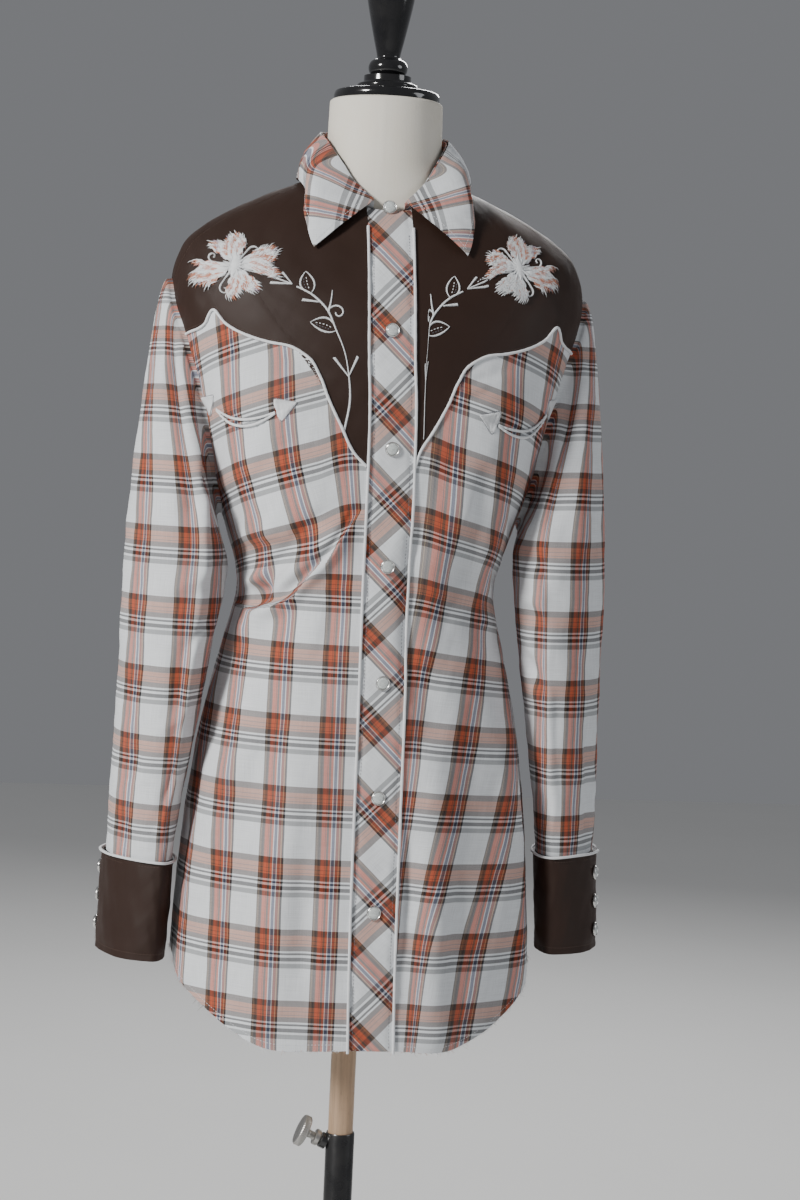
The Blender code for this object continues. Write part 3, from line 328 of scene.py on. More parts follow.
BASE_RADIUS, BASE_EDGE, HUB_RADIUS, HUB_TOP = 0.185, 0.009, 0.024, 0.060
SCREW_HEIGHT, SCREW_TILT, SCREW_RADIUS = 0.500, math.radians(25), 0.004
BOSS_RADIUS, BOSS_OUT = 0.0075, 0.0215
KNOB_RADIUS, KNOB_WALL, KNOB_OUT = 0.0150, 0.007, 0.0365
CAP_PROFILE = (
    (0.0490, 0.0003),
    (0.0495, 0.0040),
    (0.0480, 0.0090),
    (0.0285, 0.0098),
    (0.0280, 0.0160),
    (0.0222, 0.0170),
    (0.0220, 0.0235),
)
FINIAL_PROFILE = (
    (0.0150, 0.0238),
    (0.0176, 0.0275),
    (0.0182, 0.0325),
    (0.0160, 0.0372),
    (0.0112, 0.0400),
    (0.0112, 0.0440),
    (0.0140, 0.0560),
    (0.0180, 0.0740),
    (0.0218, 0.0930),
    (0.0238, 0.1090),
    (0.0226, 0.1240),
    (0.0170, 0.1370),
    (0.0080, 0.1440),
)

# Colours, as seen in daylight, in the order of the threads' stripes.
WHITE, CREAM = (0.80, 0.82, 0.84), (0.55, 0.42, 0.22)
ORANGE, BRICK = (0.60, 0.085, 0.016), (0.30, 0.040, 0.014)
DARK_BROWN, OLIVE = (0.022, 0.009, 0.008), (0.110, 0.058, 0.036)
BLUE_GREY, BLACK_BROWN = (0.085, 0.10, 0.19), (0.008, 0.005, 0.005)
TAUPE, SALMON = (0.150, 0.115, 0.105), (0.54, 0.225, 0.140)
SLATE, PALE_GREY = (0.035, 0.035, 0.040), (0.27, 0.28, 0.29)
WARP = (  # colour and width, in thousandths of the repeat
    (OLIVE, 26), (CREAM, 5), (OLIVE, 26), (DARK_BROWN, 22), (OLIVE, 24), (ORANGE, 66),
    (DARK_BROWN, 10), (ORANGE, 14), (OLIVE, 40), (ORANGE, 40), (WHITE, 16), (BLUE_GREY, 52),
    (WHITE, 16), (BRICK, 56), (CREAM, 10), (BRICK, 14), (BLACK_BROWN, 30), (WHITE, 533),
)
WEFT = (
    (TAUPE, 84), (SALMON, 62), (TAUPE, 7), (SALMON, 50), (TAUPE, 7), (SALMON, 22),
    (TAUPE, 72), (WHITE, 26), (SLATE, 28), (WHITE, 34), (SLATE, 56), (WHITE, 30),
    (PALE_GREY, 66), (WHITE, 456),
)


def unit(v):
    return v / np.maximum(np.linalg.norm(v, axis=-1, keepdims=True), 1e-12)


def smooth_step(low, high, x):
    s = np.clip((x - low) / (high - low), 0, 1)
    return s * s * (3 - 2 * s)


def smooth_read(table, column, x):
    """A column of a table at x, on a curve through its rows. Column 0 holds x."""
    rows = np.array(table, float)
    xs, ys = rows[:, 0], rows[:, column]
    slopes = np.gradient(ys, xs)
    x = np.clip(np.asarray(x, float), xs[0], xs[-1])
    i = np.clip(np.searchsorted(xs, x, side="right") - 1, 0, len(xs) - 2)
    span = xs[i + 1] - xs[i]
    s = (x - xs[i]) / span
    start = (1 + 2 * s) * (1 - s) ** 2 * ys[i] + s * (1 - s) ** 2 * span * slopes[i]
    end = s * s * (3 - 2 * s) * ys[i + 1] + s * s * (s - 1) * span * slopes[i + 1]
    return start + end


def ring_read(column, height):
    return smooth_read(RINGS, column, height)


def torso_base(angle, height):
    """Points of the bare torso surface."""
    turn = np.radians(angle)
    sine, cosine = np.sin(turn), np.cos(turn)
    ahead = cosine > 0
    depth = np.where(ahead, ring_read(FRONT, height), ring_read(BACK, height))
    dip = np.where(ahead, ring_read(FRONT_DIP, height), ring_read(BACK_DIP, height))
    full = 1 + FULL_CORNERS * np.sin(2 * turn) ** 2
    x = ring_read(HALF_WIDTH, height) * sine * full
    return np.stack([x, -depth * cosine * full, height - dip * cosine**2], -1)


def torso_normal(angle, height):
    step_angle, step_height = 0.5, 0.002
    low, high = np.maximum(height - step_height, RINGS[0][0]), np.minimum(height + step_height, NECK)
    across = torso_base(angle + step_angle, height) - torso_base(angle - step_angle, height)
    upward = torso_base(angle, high) - torso_base(angle, low)
    return unit(np.cross(across, upward))


def turned_from(angle, start):
    """Signed degrees from start to angle, the short way round."""
    return (np.asarray(angle, float) - start + 180) % 360 - 180


def fold_rise(angle, height, folds=FOLDS):
    half_width = ring_read(HALF_WIDTH, height)
    total = np.zeros(np.broadcast(angle, height).shape)
    for angle_a, height_a, angle_b, height_b, width, rise in folds:
        reach = half_width * math.radians(turned_from(angle_b, angle_a))
        x, z = half_width * np.radians(turned_from(angle, angle_a)), height - height_a
        climb = height_b - height_a
        along = np.clip((x * reach + z * climb) / (reach**2 + climb**2), 0, 1)
        total += rise * np.exp(-((np.hypot(x - along * reach, z - along * climb) / width) ** 2))
    return total


def crease_rise(degrees, height, radius, creases):
    """Soft troughs and ridges, each fading at its ends and steeper on one side."""
    total = np.zeros(np.broadcast(degrees, height).shape)
    for degrees_a, height_a, degrees_b, height_b, bow, width, rise in creases:
        reach = radius * math.radians(turned_from(degrees_b, degrees_a))
        climb = height_b - height_a
        length = np.hypot(reach, climb)
        x, z = radius * np.radians(turned_from(degrees, degrees_a)), height - height_a
        along = (x * reach + z * climb) / length**2
        across = (x * climb - z * reach) / length - bow * 4 * along * (1 - along)
        fade = smooth_step(-0.05, 0.30, along) * smooth_step(-0.05, 0.38, 1 - along)
        uneven = 1 + 0.25 * np.sin(9 * along + 40 * bow * 100 + width * 900)
        spread = width * (1 + 0.5 * along) * np.where(across > 0, 0.75, 1.25)
        main = np.exp(-((across / spread) ** 2))
        beside = np.exp(-(((across - 2.1 * width) / (1.4 * width)) ** 2))
        total += rise * uneven * fade * (main - 0.35 * beside)
    return total


def ripple(x, z, size=0.00022):
    """Slight unevenness of worn cloth, in metres."""
    total = 0
    for wave, lean, share, start in (
        (0.043, 0.5, 1.0, 0.3), (0.031, -0.9, 0.8, 1.9), (0.019, 1.7, 0.45, 4.1),
        (0.013, -0.3, 0.3, 2.2), (0.0083, 0.9, 0.16, 5.0), (0.0061, -1.4, 0.10, 0.9),
    ):
        total = total + share * np.sin(TWO_PI * (x + lean * z) / (wave * math.hypot(1, lean)) + start)
    return size * total


def lip_curve(side, offset, count):
    """Angle and ring height along a pocket lip; offset is how far below the upper one."""
    inner_angle, inner_height, outer_angle, outer_height, sag = POCKETS[side]
    s = np.linspace(0, 1, count)
    height = inner_height + (outer_height - inner_height) * s - (sag + offset) * 4 * s * (1 - s)
    angle = side * (inner_angle + (outer_angle - inner_angle) * s)
    return angle, ring_height(angle, height)


def pucker_rise(angle, height):
    """Short gathers above and below each pocket."""
    total = np.zeros(np.broadcast(angle, height).shape)
    for side in (1, -1):
        inner_angle, inner_height, outer_angle, outer_height, sag = POCKETS[side]
        s = (side * turned_from(angle, 0) - inner_angle) / (outer_angle - inner_angle)
        middle = inner_height + (outer_height - inner_height) * s - (sag + LIP_SPACE / 2) * 4 * s * (1 - s)
        z = height - middle - 0.004
        inside = smooth_step(-0.12, 0.10, s) * smooth_step(-0.12, 0.10, 1 - s)
        near = np.exp(-((np.abs(z) - 0.004) / 0.010) ** 2) * inside
        waves = np.sin(TWO_PI * s * 13 + 3 * np.sin(7 * s)) + 0.6 * np.sin(TWO_PI * s * 21 + 1)
        total += 0.00028 * near * waves
        total -= 0.0011 * inside * np.exp(-((z / 0.0035) ** 2))
    return total


WAIST_FOLD = (  # the right front's overlapping fold: metres from the front's middle, true height
    (0.015, 1.1150), (0.028, 1.1010), (0.045, 1.0716), (0.060, 1.0538), (0.079, 1.0333),
    (0.097, 1.0235), (0.125, 1.0173),
)


def waist_rise(angle, height):
    """The big fold at the wearer's right waist: a ridge along its line, a trough above it."""
    away = -around_body(turned_from(angle, 0), height)
    above = torso_base(angle, height)[..., 2] - smooth_read(WAIST_FOLD, 1, np.clip(away, 0, 0.2))
    reach = smooth_step(0.016, 0.040, away) * smooth_step(0.150, 0.105, away)
    ridge = 0.0034 * np.exp(-(((above + 0.0045) / 0.0065) ** 2))
    trough = 0.0036 * np.exp(-(((above - 0.0055) / 0.0065) ** 2))
    return reach * (ridge - trough)


def cloth_rise(angle, height):
    radius = ring_read(HALF_WIDTH, height)
    x = radius * np.radians(turned_from(angle, 0))
    calm = 0.60 + 0.40 * smooth_step(1.30, 1.18, height)
    return (
        fold_rise(angle, height)
        + crease_rise(angle, height, radius, CREASES)
        + pucker_rise(angle, height)
        + waist_rise(angle, height)
        + ripple(x, height) * calm
    )


def torso(angle, height, lift=0.0):
    """The cloth's own surface: inner side at lift 0, outer side at lift CLOTH."""
    angle, height = np.broadcast_arrays(np.asarray(angle, float), np.asarray(height, float))
    rise = cloth_rise(angle, height)
    return torso_base(angle, height) + torso_normal(angle, height) * (lift + rise)[..., None]


def ring_height(angle, true_height):
    """The ring whose point at this angle lies at the true height."""
    height = np.array(true_height, float) + 0 * np.asarray(angle, float)
    for _ in range(14):
        dipped = torso_base(angle, height)[..., 2]
        height = np.clip(height + (true_height - dipped) * 0.8, RINGS[0][0], NECK)
    return height


def on_front(x, z):
    """Angle and ring height of the front's points at x and true height z."""
    x, z = np.asarray(x, float), np.asarray(z, float)
    angle, height = x * 0, z + 0.02
    for _ in range(16):
        full = 1 + FULL_CORNERS * np.sin(2 * np.radians(angle)) ** 2
        reach = ring_read(HALF_WIDTH, height) * full
        angle = np.degrees(np.arcsin(np.clip(x / reach, -0.999, 0.999)))
        dipped = torso_base(angle, height)[..., 2]
        height = np.clip(height + (z - dipped) * 0.7, RINGS[0][0], NECK)
    return angle, height


def placket_angle(side, height, half=HALF_PLACKET):
    across = smooth_read(DRIFT, 1, height) + side * half
    return np.degrees(np.arcsin(across / ring_read(HALF_WIDTH, height)))


def armhole(place):
    """Angle and height on the wearer's left armhole, at places along ARMHOLE's rows."""
    rows, count = np.array(ARMHOLE, float), len(ARMHOLE)
    place = np.atleast_1d(np.asarray(place, float))
    i = np.floor(place).astype(int) % count
    s = (place - np.floor(place))[:, None]
    a, b, c, d = (rows[(i + k) % count] for k in (-1, 0, 1, 2))
    return b + 0.5 * s * (c - a + s * (2 * a - 5 * b + 4 * c - d + s * (3 * (b - c) + d - a)))


def smooth_line(points, count, bunch=1.0):
    """Points evenly along a curve through the given angle and height pairs."""
    points = np.array(points, float)
    radius = np.radians(1) * 0.15
    steps = np.hypot(np.diff(points[:, 0]) * radius, np.diff(points[:, 1]))
    table = np.column_stack([np.concatenate([[0], np.cumsum(np.maximum(steps, 1e-6))]), points])
    fine = np.linspace(0, table[-1, 0], 600)
    line = np.stack([smooth_read(table, 1, fine), smooth_read(table, 2, fine)], -1)
    walked = np.hypot(np.diff(line[:, 0]) * radius, np.diff(line[:, 1]))
    walked = np.concatenate([[0], np.cumsum(walked)])
    wanted = np.linspace(0, 1, count) ** bunch * walked[-1]
    return np.stack([np.interp(wanted, walked, line[:, k]) for k in range(2)], -1)


def to_side(points, side):
    return np.array(points, float) * np.array([side, 1.0])


def hem_line(start, end, count):
    angles = np.linspace(start, end, count)
    return np.stack([angles, smooth_read(HEM, 1, np.abs(turned_from(angles, 0)))], -1)


def side_seam(count):
    hem = float(smooth_read(HEM, 1, SIDE_SEAM_HEM_ANGLE))
    s = np.linspace(0, 1, count)
    spread = UNDERARM_ANGLE - SIDE_SEAM_HEM_ANGLE
    return np.stack([SIDE_SEAM_HEM_ANGLE + spread * s, hem + (UNDERARM - hem) * s], -1)


def placket_edge(side, low, high, count):
    heights = np.linspace(low, high, count)
    return np.stack([placket_angle(side, heights), heights], -1)


def front_yoke_edge(side, count):
    start = (side * float(placket_angle(side, YOKE_POINT)), YOKE_POINT)
    middle = [(a, float(ring_height(np.array(a, float), h))) for a, h in FRONT_YOKE]
    line = smooth_line([start, *middle, tuple(armhole(YOKE_END)[0])], count)
    return to_side(line, side)


def back_yoke_edge(count):
    half = np.array([tuple(armhole(BACK_YOKE_END)[0]), *BACK_YOKE], float)
    other = half[-2::-1] * np.array([-1, 1]) + np.array([360, 0])
    return smooth_line(np.concatenate([half, other]), count)


def coons(bottom, top, left, right):
    """Grid between four edges. Bottom and top run left to right, the sides run upward."""
    u = np.linspace(0, 1, len(bottom))[None, :, None]
    v = np.linspace(0, 1, len(left))[:, None, None]
    between = (1 - v) * bottom[None] + v * top[None] + (1 - u) * left[:, None] + u * right[:, None]
    corners = (1 - u) * ((1 - v) * bottom[0] + v * top[0]) + u * ((1 - v) * bottom[-1] + v * top[-1])
    return between - corners


def around_body(angle, height):
    """Metres round the bare torso from the front's middle, at the ring of this height."""
    angle = np.asarray(angle, float)
    turns = np.arange(0, 361, 3.0)
    levels = np.array([row[0] for row in RINGS[:13]])
    lengths = []
    for level in levels:
        ring = torso_base(turns, np.full_like(turns, level))[:, :2]
        steps = np.linalg.norm(np.diff(ring, axis=0), axis=1)
        lengths.append(np.concatenate([[0], np.cumsum(steps)]))
    lengths = np.array(lengths)
    height = np.clip(height, levels[0], levels[-1])
    row = np.clip(np.searchsorted(levels, height, side="right") - 1, 0, len(levels) - 2)
    share = (height - levels[row]) / (levels[row + 1] - levels[row])
    turn = np.clip(np.abs(angle) / 3.0, 0, 119.999)
    column = turn.astype(int)
    part = turn - column

    def read(r):
        return lengths[r, column] * (1 - part) + lengths[r, column + 1] * part

    return np.sign(angle) * (read(row) * (1 - share) + read(row + 1) * share)


# Meshes


def add_mesh(name, points, faces, material, flat=None, sharp=55):
    """A mesh object from points and faces, with the cloth's flat places as its UV map."""
    mesh = bpy.data.meshes.new(name)
    points = np.asarray(points, float).reshape(-1, 3)
    mesh.from_pydata(points.tolist(), [], faces)
    mesh.materials.append(material)
    mesh.shade_smooth()
    mesh.set_sharp_from_angle(angle=math.radians(sharp))
    if flat is not None:
        corners = np.empty(len(mesh.loops), dtype=np.int32)
        mesh.loops.foreach_get("vertex_index", corners)
        layer = mesh.uv_layers.new(name="flat")
        layer.data.foreach_set("uv", np.asarray(flat, np.float32).reshape(-1, 2)[corners].ravel())
    made = bpy.data.objects.new(name, mesh)
    bpy.context.collection.objects.link(made)
    return made


def grid_faces(rows, columns, start=0, flip=False):
    a = (np.arange(rows - 1)[:, None] * columns + np.arange(columns - 1)[None, :]).ravel() + start
    faces = np.stack([a, a + 1, a + columns + 1, a + columns], -1)
    return (faces[:, ::-1] if flip else faces).tolist()


def shell(name, inner, outer, flat, material, flip=False):
    """A closed thin shell between two grids of points."""
    rows, columns = outer.shape[:2]
    count = rows * columns
    faces = grid_faces(rows, columns, count, flip) + grid_faces(rows, columns, 0, not flip)
    border = list(range(columns))
    border += [j * columns + columns - 1 for j in range(1, rows)]
    border += [(rows - 1) * columns + i for i in range(columns - 2, -1, -1)]
    border += [j * columns for j in range(rows - 2, 0, -1)]
    for a, b in zip(border, border[1:] + border[:1]):
        face = (a, b, count + b, count + a)
        faces.append(face[::-1] if flip else face)
    points = np.concatenate([inner.reshape(-1, 3), outer.reshape(-1, 3)])
    both = np.concatenate([flat.reshape(-1, 2), flat.reshape(-1, 2)])
    return add_mesh(name, points, faces, material, both)


def declare_cloth(made, node):
    """Stands a cloth piece in for its node."""
    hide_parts(node)
    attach(made, "form")


def stand_in(made, node, body="form"):
    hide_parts(node)
    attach(made, body)
    return made


def add_trim(made):
    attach(made, "form")
    return made


def frames_along(points, out):
    along = unit(np.gradient(points, axis=0))
    beside = unit(np.cross(along, out))
    return along, beside, np.cross(beside, along)


def cord(name, points, out, radius, material, sides=10, flatten=1.0, capped=True):
    """A round cord along points. Radius may be one for each point."""
    points, out = np.asarray(points, float), np.asarray(out, float)
    _, beside, upright = frames_along(points, out)
    radius = np.broadcast_to(radius, len(points))[:, None]
    rings = []
    for k in range(sides):
        turn = TWO_PI * k / sides
        rings.append(points + radius * (math.cos(turn) * beside + flatten * math.sin(turn) * upright))
    grid = np.stack(rings, 1)
    faces = []
    for j in range(len(points) - 1):
        for k in range(sides):
            a, b = j * sides + k, j * sides + (k + 1) % sides
            faces.append((a, a + sides, b + sides, b))
    if capped:
        faces.append(tuple(range(sides)))
        faces.append(tuple((len(points) - 1) * sides + k for k in range(sides))[::-1])
    walked = np.concatenate([[0], np.cumsum(np.linalg.norm(np.diff(points, axis=0), axis=1))])
    flat = np.stack(np.broadcast_arrays(
        np.arange(sides)[None, :] * float(radius[0, 0]) * TWO_PI / sides, walked[:, None]), -1)
    return add_mesh(name, grid, faces, material, flat, sharp=70)


def lathe(name, profile, material, sides=96, closed=True, sharp=38):
    """A turned solid, its profile given upward as radius and height."""
    turns = TWO_PI * np.arange(sides) / sides
    rings = [np.stack([r * np.cos(turns), r * np.sin(turns), 0 * turns + z], -1) for r, z in profile]
    points = np.concatenate(rings)
    faces = []
    for j in range(len(profile) - 1):
        for k in range(sides):
            a, b = j * sides + k, j * sides + (k + 1) % sides
            faces.append((a, b, b + sides, a + sides))
    if closed:
        faces.append(tuple(range(sides))[::-1])
        faces.append(tuple((len(profile) - 1) * sides + k for k in range(sides)))
    return add_mesh(name, points, faces, material, sharp=sharp)


def rounded_profile(profile, steps=5, reach=0.35):
    """A turned profile with each of its corners rounded."""
    points = np.array(profile, float)
    made = [points[0]]
    for a, b, c in zip(points, points[1:], points[2:]):
        near_a, near_c = b + (a - b) * reach, b + (c - b) * reach
        for s in np.linspace(0, 1, steps):
            made.append((1 - s) ** 2 * near_a + 2 * s * (1 - s) * b + s * s * near_c)
    made.append(points[-1])
    return [tuple(p) for p in made]


def thread_bars(centres, halves, out, width, height, rings=4, sides=4):
    """Points and faces of many short bowed threads, joined in one mesh."""
    centres, halves, out = (np.asarray(v, float) for v in (centres, halves, out))
    width, height = np.broadcast_to(width, len(centres)), np.broadcast_to(height, len(centres))
    beside = unit(np.cross(halves, out))
    s = np.linspace(-1, 1, rings)
    bow = 1 - s**2
    thick = np.sqrt(np.clip(1.08 - s**2, 0.05, 1))
    points = np.empty((len(centres), rings, sides, 3))
    for j in range(rings):
        middle = centres + halves * s[j] + out * (height * bow[j])[:, None]
        for k in range(sides):
            turn = TWO_PI * k / sides
            across = beside * (width * math.cos(turn))[:, None]
            upward = out * (width * 0.8 * math.sin(turn))[:, None]
            round_part = across + upward
            points[:, j, k] = middle + round_part * thick[j]
    one = []
    for j in range(rings - 1):
        for k in range(sides):
            a, b = j * sides + k, j * sides + (k + 1) % sides
            one.append((a, a + sides, b + sides, b))
    caps = [tuple(range(sides)), tuple((rings - 1) * sides + k for k in range(sides))[::-1]]
    size = rings * sides
    faces = []
    for i in range(len(centres)):
        faces += [tuple(i * size + n for n in face) for face in one + caps]
    return points.reshape(-1, 3), faces


def add_threads(name, groups, materials):
    """One object of threads; each group is (centres, halves, out, width, height, colour)."""
    points, faces, colours = [], [], []
    start = 0
    for centres, halves, out, width, height, colour in groups:
        p, f = thread_bars(centres, halves, out, width, height)
        points.append(p)
        faces += [tuple(start + n for n in face) for face in f]
        colours += [colour] * len(f)
        start += len(p)
    made = add_mesh(name, np.concatenate(points), faces, materials[0], sharp=80)
    for extra in materials[1:]:
        made.data.materials.append(extra)
    made.data.polygons.foreach_set("material_index", np.array(colours, dtype=np.int32))
    return add_trim(made)


def stitch_line(angle, height, lift, stitch, gap, width=0.00022):
    """Centres, halves and outward directions of stitches along a line on the cloth."""
    fine = torso(angle, height, lift)
    out = torso_normal(angle, height)
    walked = np.concatenate([[0], np.cumsum(np.linalg.norm(np.diff(fine, axis=0), axis=1))])
    starts = np.arange(gap, walked[-1] - stitch, stitch + gap)

    def at(place, values):
        return np.stack([np.interp(place, walked, values[:, k]) for k in range(3)], -1)

    a, b = at(starts, fine), at(starts + stitch, fine)
    return (a + b) / 2, (b - a) / 2, unit(at(starts + stitch / 2, out)), width, 0.00012, 0


def stitches_on_points(points, out, stitch, gap, width=0.00022, colour=0):
    """As stitch_line, for any line of points with their outward directions."""
    walked = np.concatenate([[0], np.cumsum(np.linalg.norm(np.diff(points, axis=0), axis=1))])
    starts = np.arange(gap, walked[-1] - stitch, stitch + gap)

    def at(place, values):
        return np.stack([np.interp(place, walked, values[:, k]) for k in range(3)], -1)

    a, b = at(starts, points), at(starts + stitch, points)
    return (a + b) / 2, (b - a) / 2, unit(at(starts + stitch / 2, out)), width, 0.00012, colour


# Materials


class Nodes:
    """Short calls for building one node tree."""

    def __init__(self, tree):
        self.tree = tree

    def add(self, kind, **values):
        node = self.tree.nodes.new(kind)
        for name, value in values.items():
            setattr(node, name, value)
        return node

    def put(self, value, socket):
        if hasattr(value, "is_output"):
            self.tree.links.new(value, socket)
        elif isinstance(value, (tuple, list)) and socket.type == "RGBA":
            socket.default_value = (*value[:3], 1)
        else:
            socket.default_value = value

    def math(self, operation, *values, clamp=False):
        node = self.add("ShaderNodeMath", operation=operation, use_clamp=clamp)
        for value, socket in zip(values, node.inputs):
            self.put(value, socket)
        return node.outputs[0]

    def mix(self, factor, a, b, blend="MIX"):
        node = self.add("ShaderNodeMix", data_type="RGBA", blend_type=blend)
        self.put(factor, node.inputs["Factor"])
        self.put(a, node.inputs[6])
        self.put(b, node.inputs[7])
        return node.outputs[2]

    def noise(self, vector, scale, detail=2.0, roughness=0.5):
        node = self.add("ShaderNodeTexNoise")
        self.put(vector, node.inputs["Vector"])
        self.put(scale, node.inputs["Scale"])
        self.put(detail, node.inputs["Detail"])
        self.put(roughness, node.inputs["Roughness"])
        return node.outputs["Fac"]

    def stretch(self, vector, size):
        node = self.add("ShaderNodeMapping")
        self.put(vector, node.inputs["Vector"])
        node.inputs["Scale"].default_value = size
        return node.outputs["Vector"]

    def remap(self, value, low, high, to_low, to_high):
        node = self.add("ShaderNodeMapRange")
        for given, socket in zip((value, low, high, to_low, to_high), node.inputs):
            self.put(given, socket)
        return node.outputs["Result"]

    def group(self, tree, **values):
        node = self.add("ShaderNodeGroup", node_tree=tree)
        for name, value in values.items():
            self.put(value, node.inputs[name.replace("_", " ")])
        return node


def new_group(name, inputs, outputs):
    """A shader node group with named sockets, and the calls that fill it."""
    tree = bpy.data.node_groups.new(name, "ShaderNodeTree")
    for label, kind, default in inputs:
        socket = tree.interface.new_socket(label, in_out="INPUT", socket_type=f"NodeSocket{kind}")
        if default is not None:
            socket.default_value = default
    for label, kind in outputs:
        tree.interface.new_socket(label, in_out="OUTPUT", socket_type=f"NodeSocket{kind}")
    nodes = Nodes(tree)
    return tree, nodes, nodes.add("NodeGroupInput").outputs, nodes.add("NodeGroupOutput").inputs


def stripe_colour(nodes, share, stripes):
    """Colour of a stripe pattern at a share of its repeat."""
    ramp = nodes.add("ShaderNodeValToRGB")
    nodes.put(share, ramp.inputs["Fac"])
    ramp.color_ramp.interpolation = "CONSTANT"
    total, start = sum(width for _, width in stripes), 0.0
    for number, (colour, width) in enumerate(stripes):
        stop = ramp.color_ramp.elements[0] if number == 0 else ramp.color_ramp.elements.new(start / total)
        stop.position = start / total
        stop.color = (*colour, 1)
        start += width
    spare = [e for e in ramp.color_ramp.elements if e.position >= 0.9999]
    for element in spare:
        ramp.color_ramp.elements.remove(element)
    return ramp.outputs["Color"]


def weave_group():
    """Plain weave: which thread is on top, how high it stands, and the yarns' own streaks."""
    tree, n, given, out = new_group(
        "Weave",
        (("Place", "Vector", None), ("Pitch", "Float", 0.0006), ("Streak", "Float", 1.0)),
        (("Warp On Top", "Float"), ("Height", "Float"), ("Streaks", "Float")),
    )
    split = n.add("ShaderNodeSeparateXYZ")
    n.put(given["Place"], split.inputs[0])
    u = n.math("MULTIPLY", n.math("DIVIDE", split.outputs["X"], given["Pitch"]), math.pi)
    v = n.math("MULTIPLY", n.math("DIVIDE", split.outputs["Y"], given["Pitch"]), math.pi)
    both = n.math("MULTIPLY", n.math("SINE", u), n.math("SINE", v))
    n.put(n.math("MULTIPLY_ADD", both, 0.38, 0.5), out["Warp On Top"])
    n.put(n.math("MULTIPLY_ADD", n.math("ABSOLUTE", both), 0.5, 0.5), out["Height"])
    along = n.noise(n.stretch(given["Place"], (1900, 42, 1)), 1.0, 2.0, 0.6)
    across = n.noise(n.stretch(given["Place"], (38, 1700, 1)), 1.0, 2.0, 0.6)
    streaks = n.math("MULTIPLY", n.math("ADD", along, across), 0.5)
    streaks = n.math("MULTIPLY_ADD", n.math("SUBTRACT", streaks, 0.5), given["Streak"], 0.5)
    n.put(streaks, out["Streaks"])
    return tree


def plaid_group():
    """The plaid's colours: coloured warp and weft, mixed thread by thread."""
    tree, n, given, out = new_group(
        "Plaid",
        (
            ("Place", "Vector", None), ("Warp Repeat", "Float", 0.0505),
            ("Weft Repeat", "Float", 0.0665), ("Warp On Top", "Float", 0.5),
            ("Streaks", "Float", 0.5),
        ),
        (("Color", "Color"),),
    )
    split = n.add("ShaderNodeSeparateXYZ")
    n.put(given["Place"], split.inputs[0])
    u = n.math("FRACT", n.math("DIVIDE", split.outputs["X"], given["Warp Repeat"]))
    down = n.math("DIVIDE", split.outputs["Y"], given["Weft Repeat"])
    v = n.math("FRACT", n.math("MULTIPLY", down, -1.0))
    weft, warp = stripe_colour(n, v, WEFT), stripe_colour(n, u, WARP)
    mixed = n.mix(given["Warp On Top"], weft, warp)
    mixed = n.mix(0.48, mixed, n.mix(1.0, weft, warp, "MULTIPLY"))
    pale = n.remap(given["Streaks"], 0.2, 0.8, 0.86, 1.12)
    tone = n.add("ShaderNodeCombineColor")
    for socket in tone.inputs:
        n.put(pale, socket)
    n.put(n.mix(1.0, mixed, tone.outputs[0], "MULTIPLY"), out["Color"])
    return tree


def wear_group():
    """Slow cloudy variation over a whole piece: 0 fresh, 1 worn or handled."""
    tree, n, given, out = new_group(
        "Wear",
        (("Place", "Vector", None), ("Scale", "Float", 9.0), ("Amount", "Float", 0.5)),
        (("Mask", "Float"),),
    )
    clouds = n.noise(given["Place"], given["Scale"], 4.0, 0.6)
    n.put(n.math("MULTIPLY", n.remap(clouds, 0.35, 0.75, 0.0, 1.0), given["Amount"]), out["Mask"])
    return tree


def grain_group():
    """Fine relief from noise, for metal, lacquer, pearl and canvas; the lacquer's is stretched along one way.
    """
    tree, n, given, out = new_group(
        "Grain",
        (("Place", "Vector", None), ("Scale", "Float", 600.0), ("Detail", "Float", 3.0)),
        (("Height", "Float"),),
    )
    n.put(n.noise(given["Place"], given["Scale"], given["Detail"], 0.6), out["Height"])
    return tree


GROUPS = {}


def shared(name):
    makers = {"Weave": weave_group, "Plaid": plaid_group, "Wear": wear_group, "Grain": grain_group}
    if name not in GROUPS:
        GROUPS[name] = makers[name]()
    return GROUPS[name]


def begin_material(name, roughness, **shader):
    """A material with its Principled shader's constant sockets set."""
    made = bpy.data.materials.new(name)
    made.use_nodes = True
    n = Nodes(made.node_tree)
    bsdf = made.node_tree.nodes["Principled BSDF"]
    bsdf.inputs["Roughness"].default_value = roughness
    for label, value in shader.items():
        socket = bsdf.inputs[label.replace("_", " ")]
        n.put(value, socket)
    return made, n, bsdf


def own_place(n):
    return n.add("ShaderNodeTexCoord").outputs["Object"]


def flat_place(n):
    return n.add("ShaderNodeUVMap", uv_map="flat").outputs["UV"]


def bump(n, bsdf, height, distance, strength=1.0):
    node = n.add("ShaderNodeBump")
    node.inputs["Strength"].default_value = strength
    node.inputs["Distance"].default_value = distance
    n.put(height, node.inputs["Height"])
    n.put(node.outputs["Normal"], bsdf.inputs["Normal"])


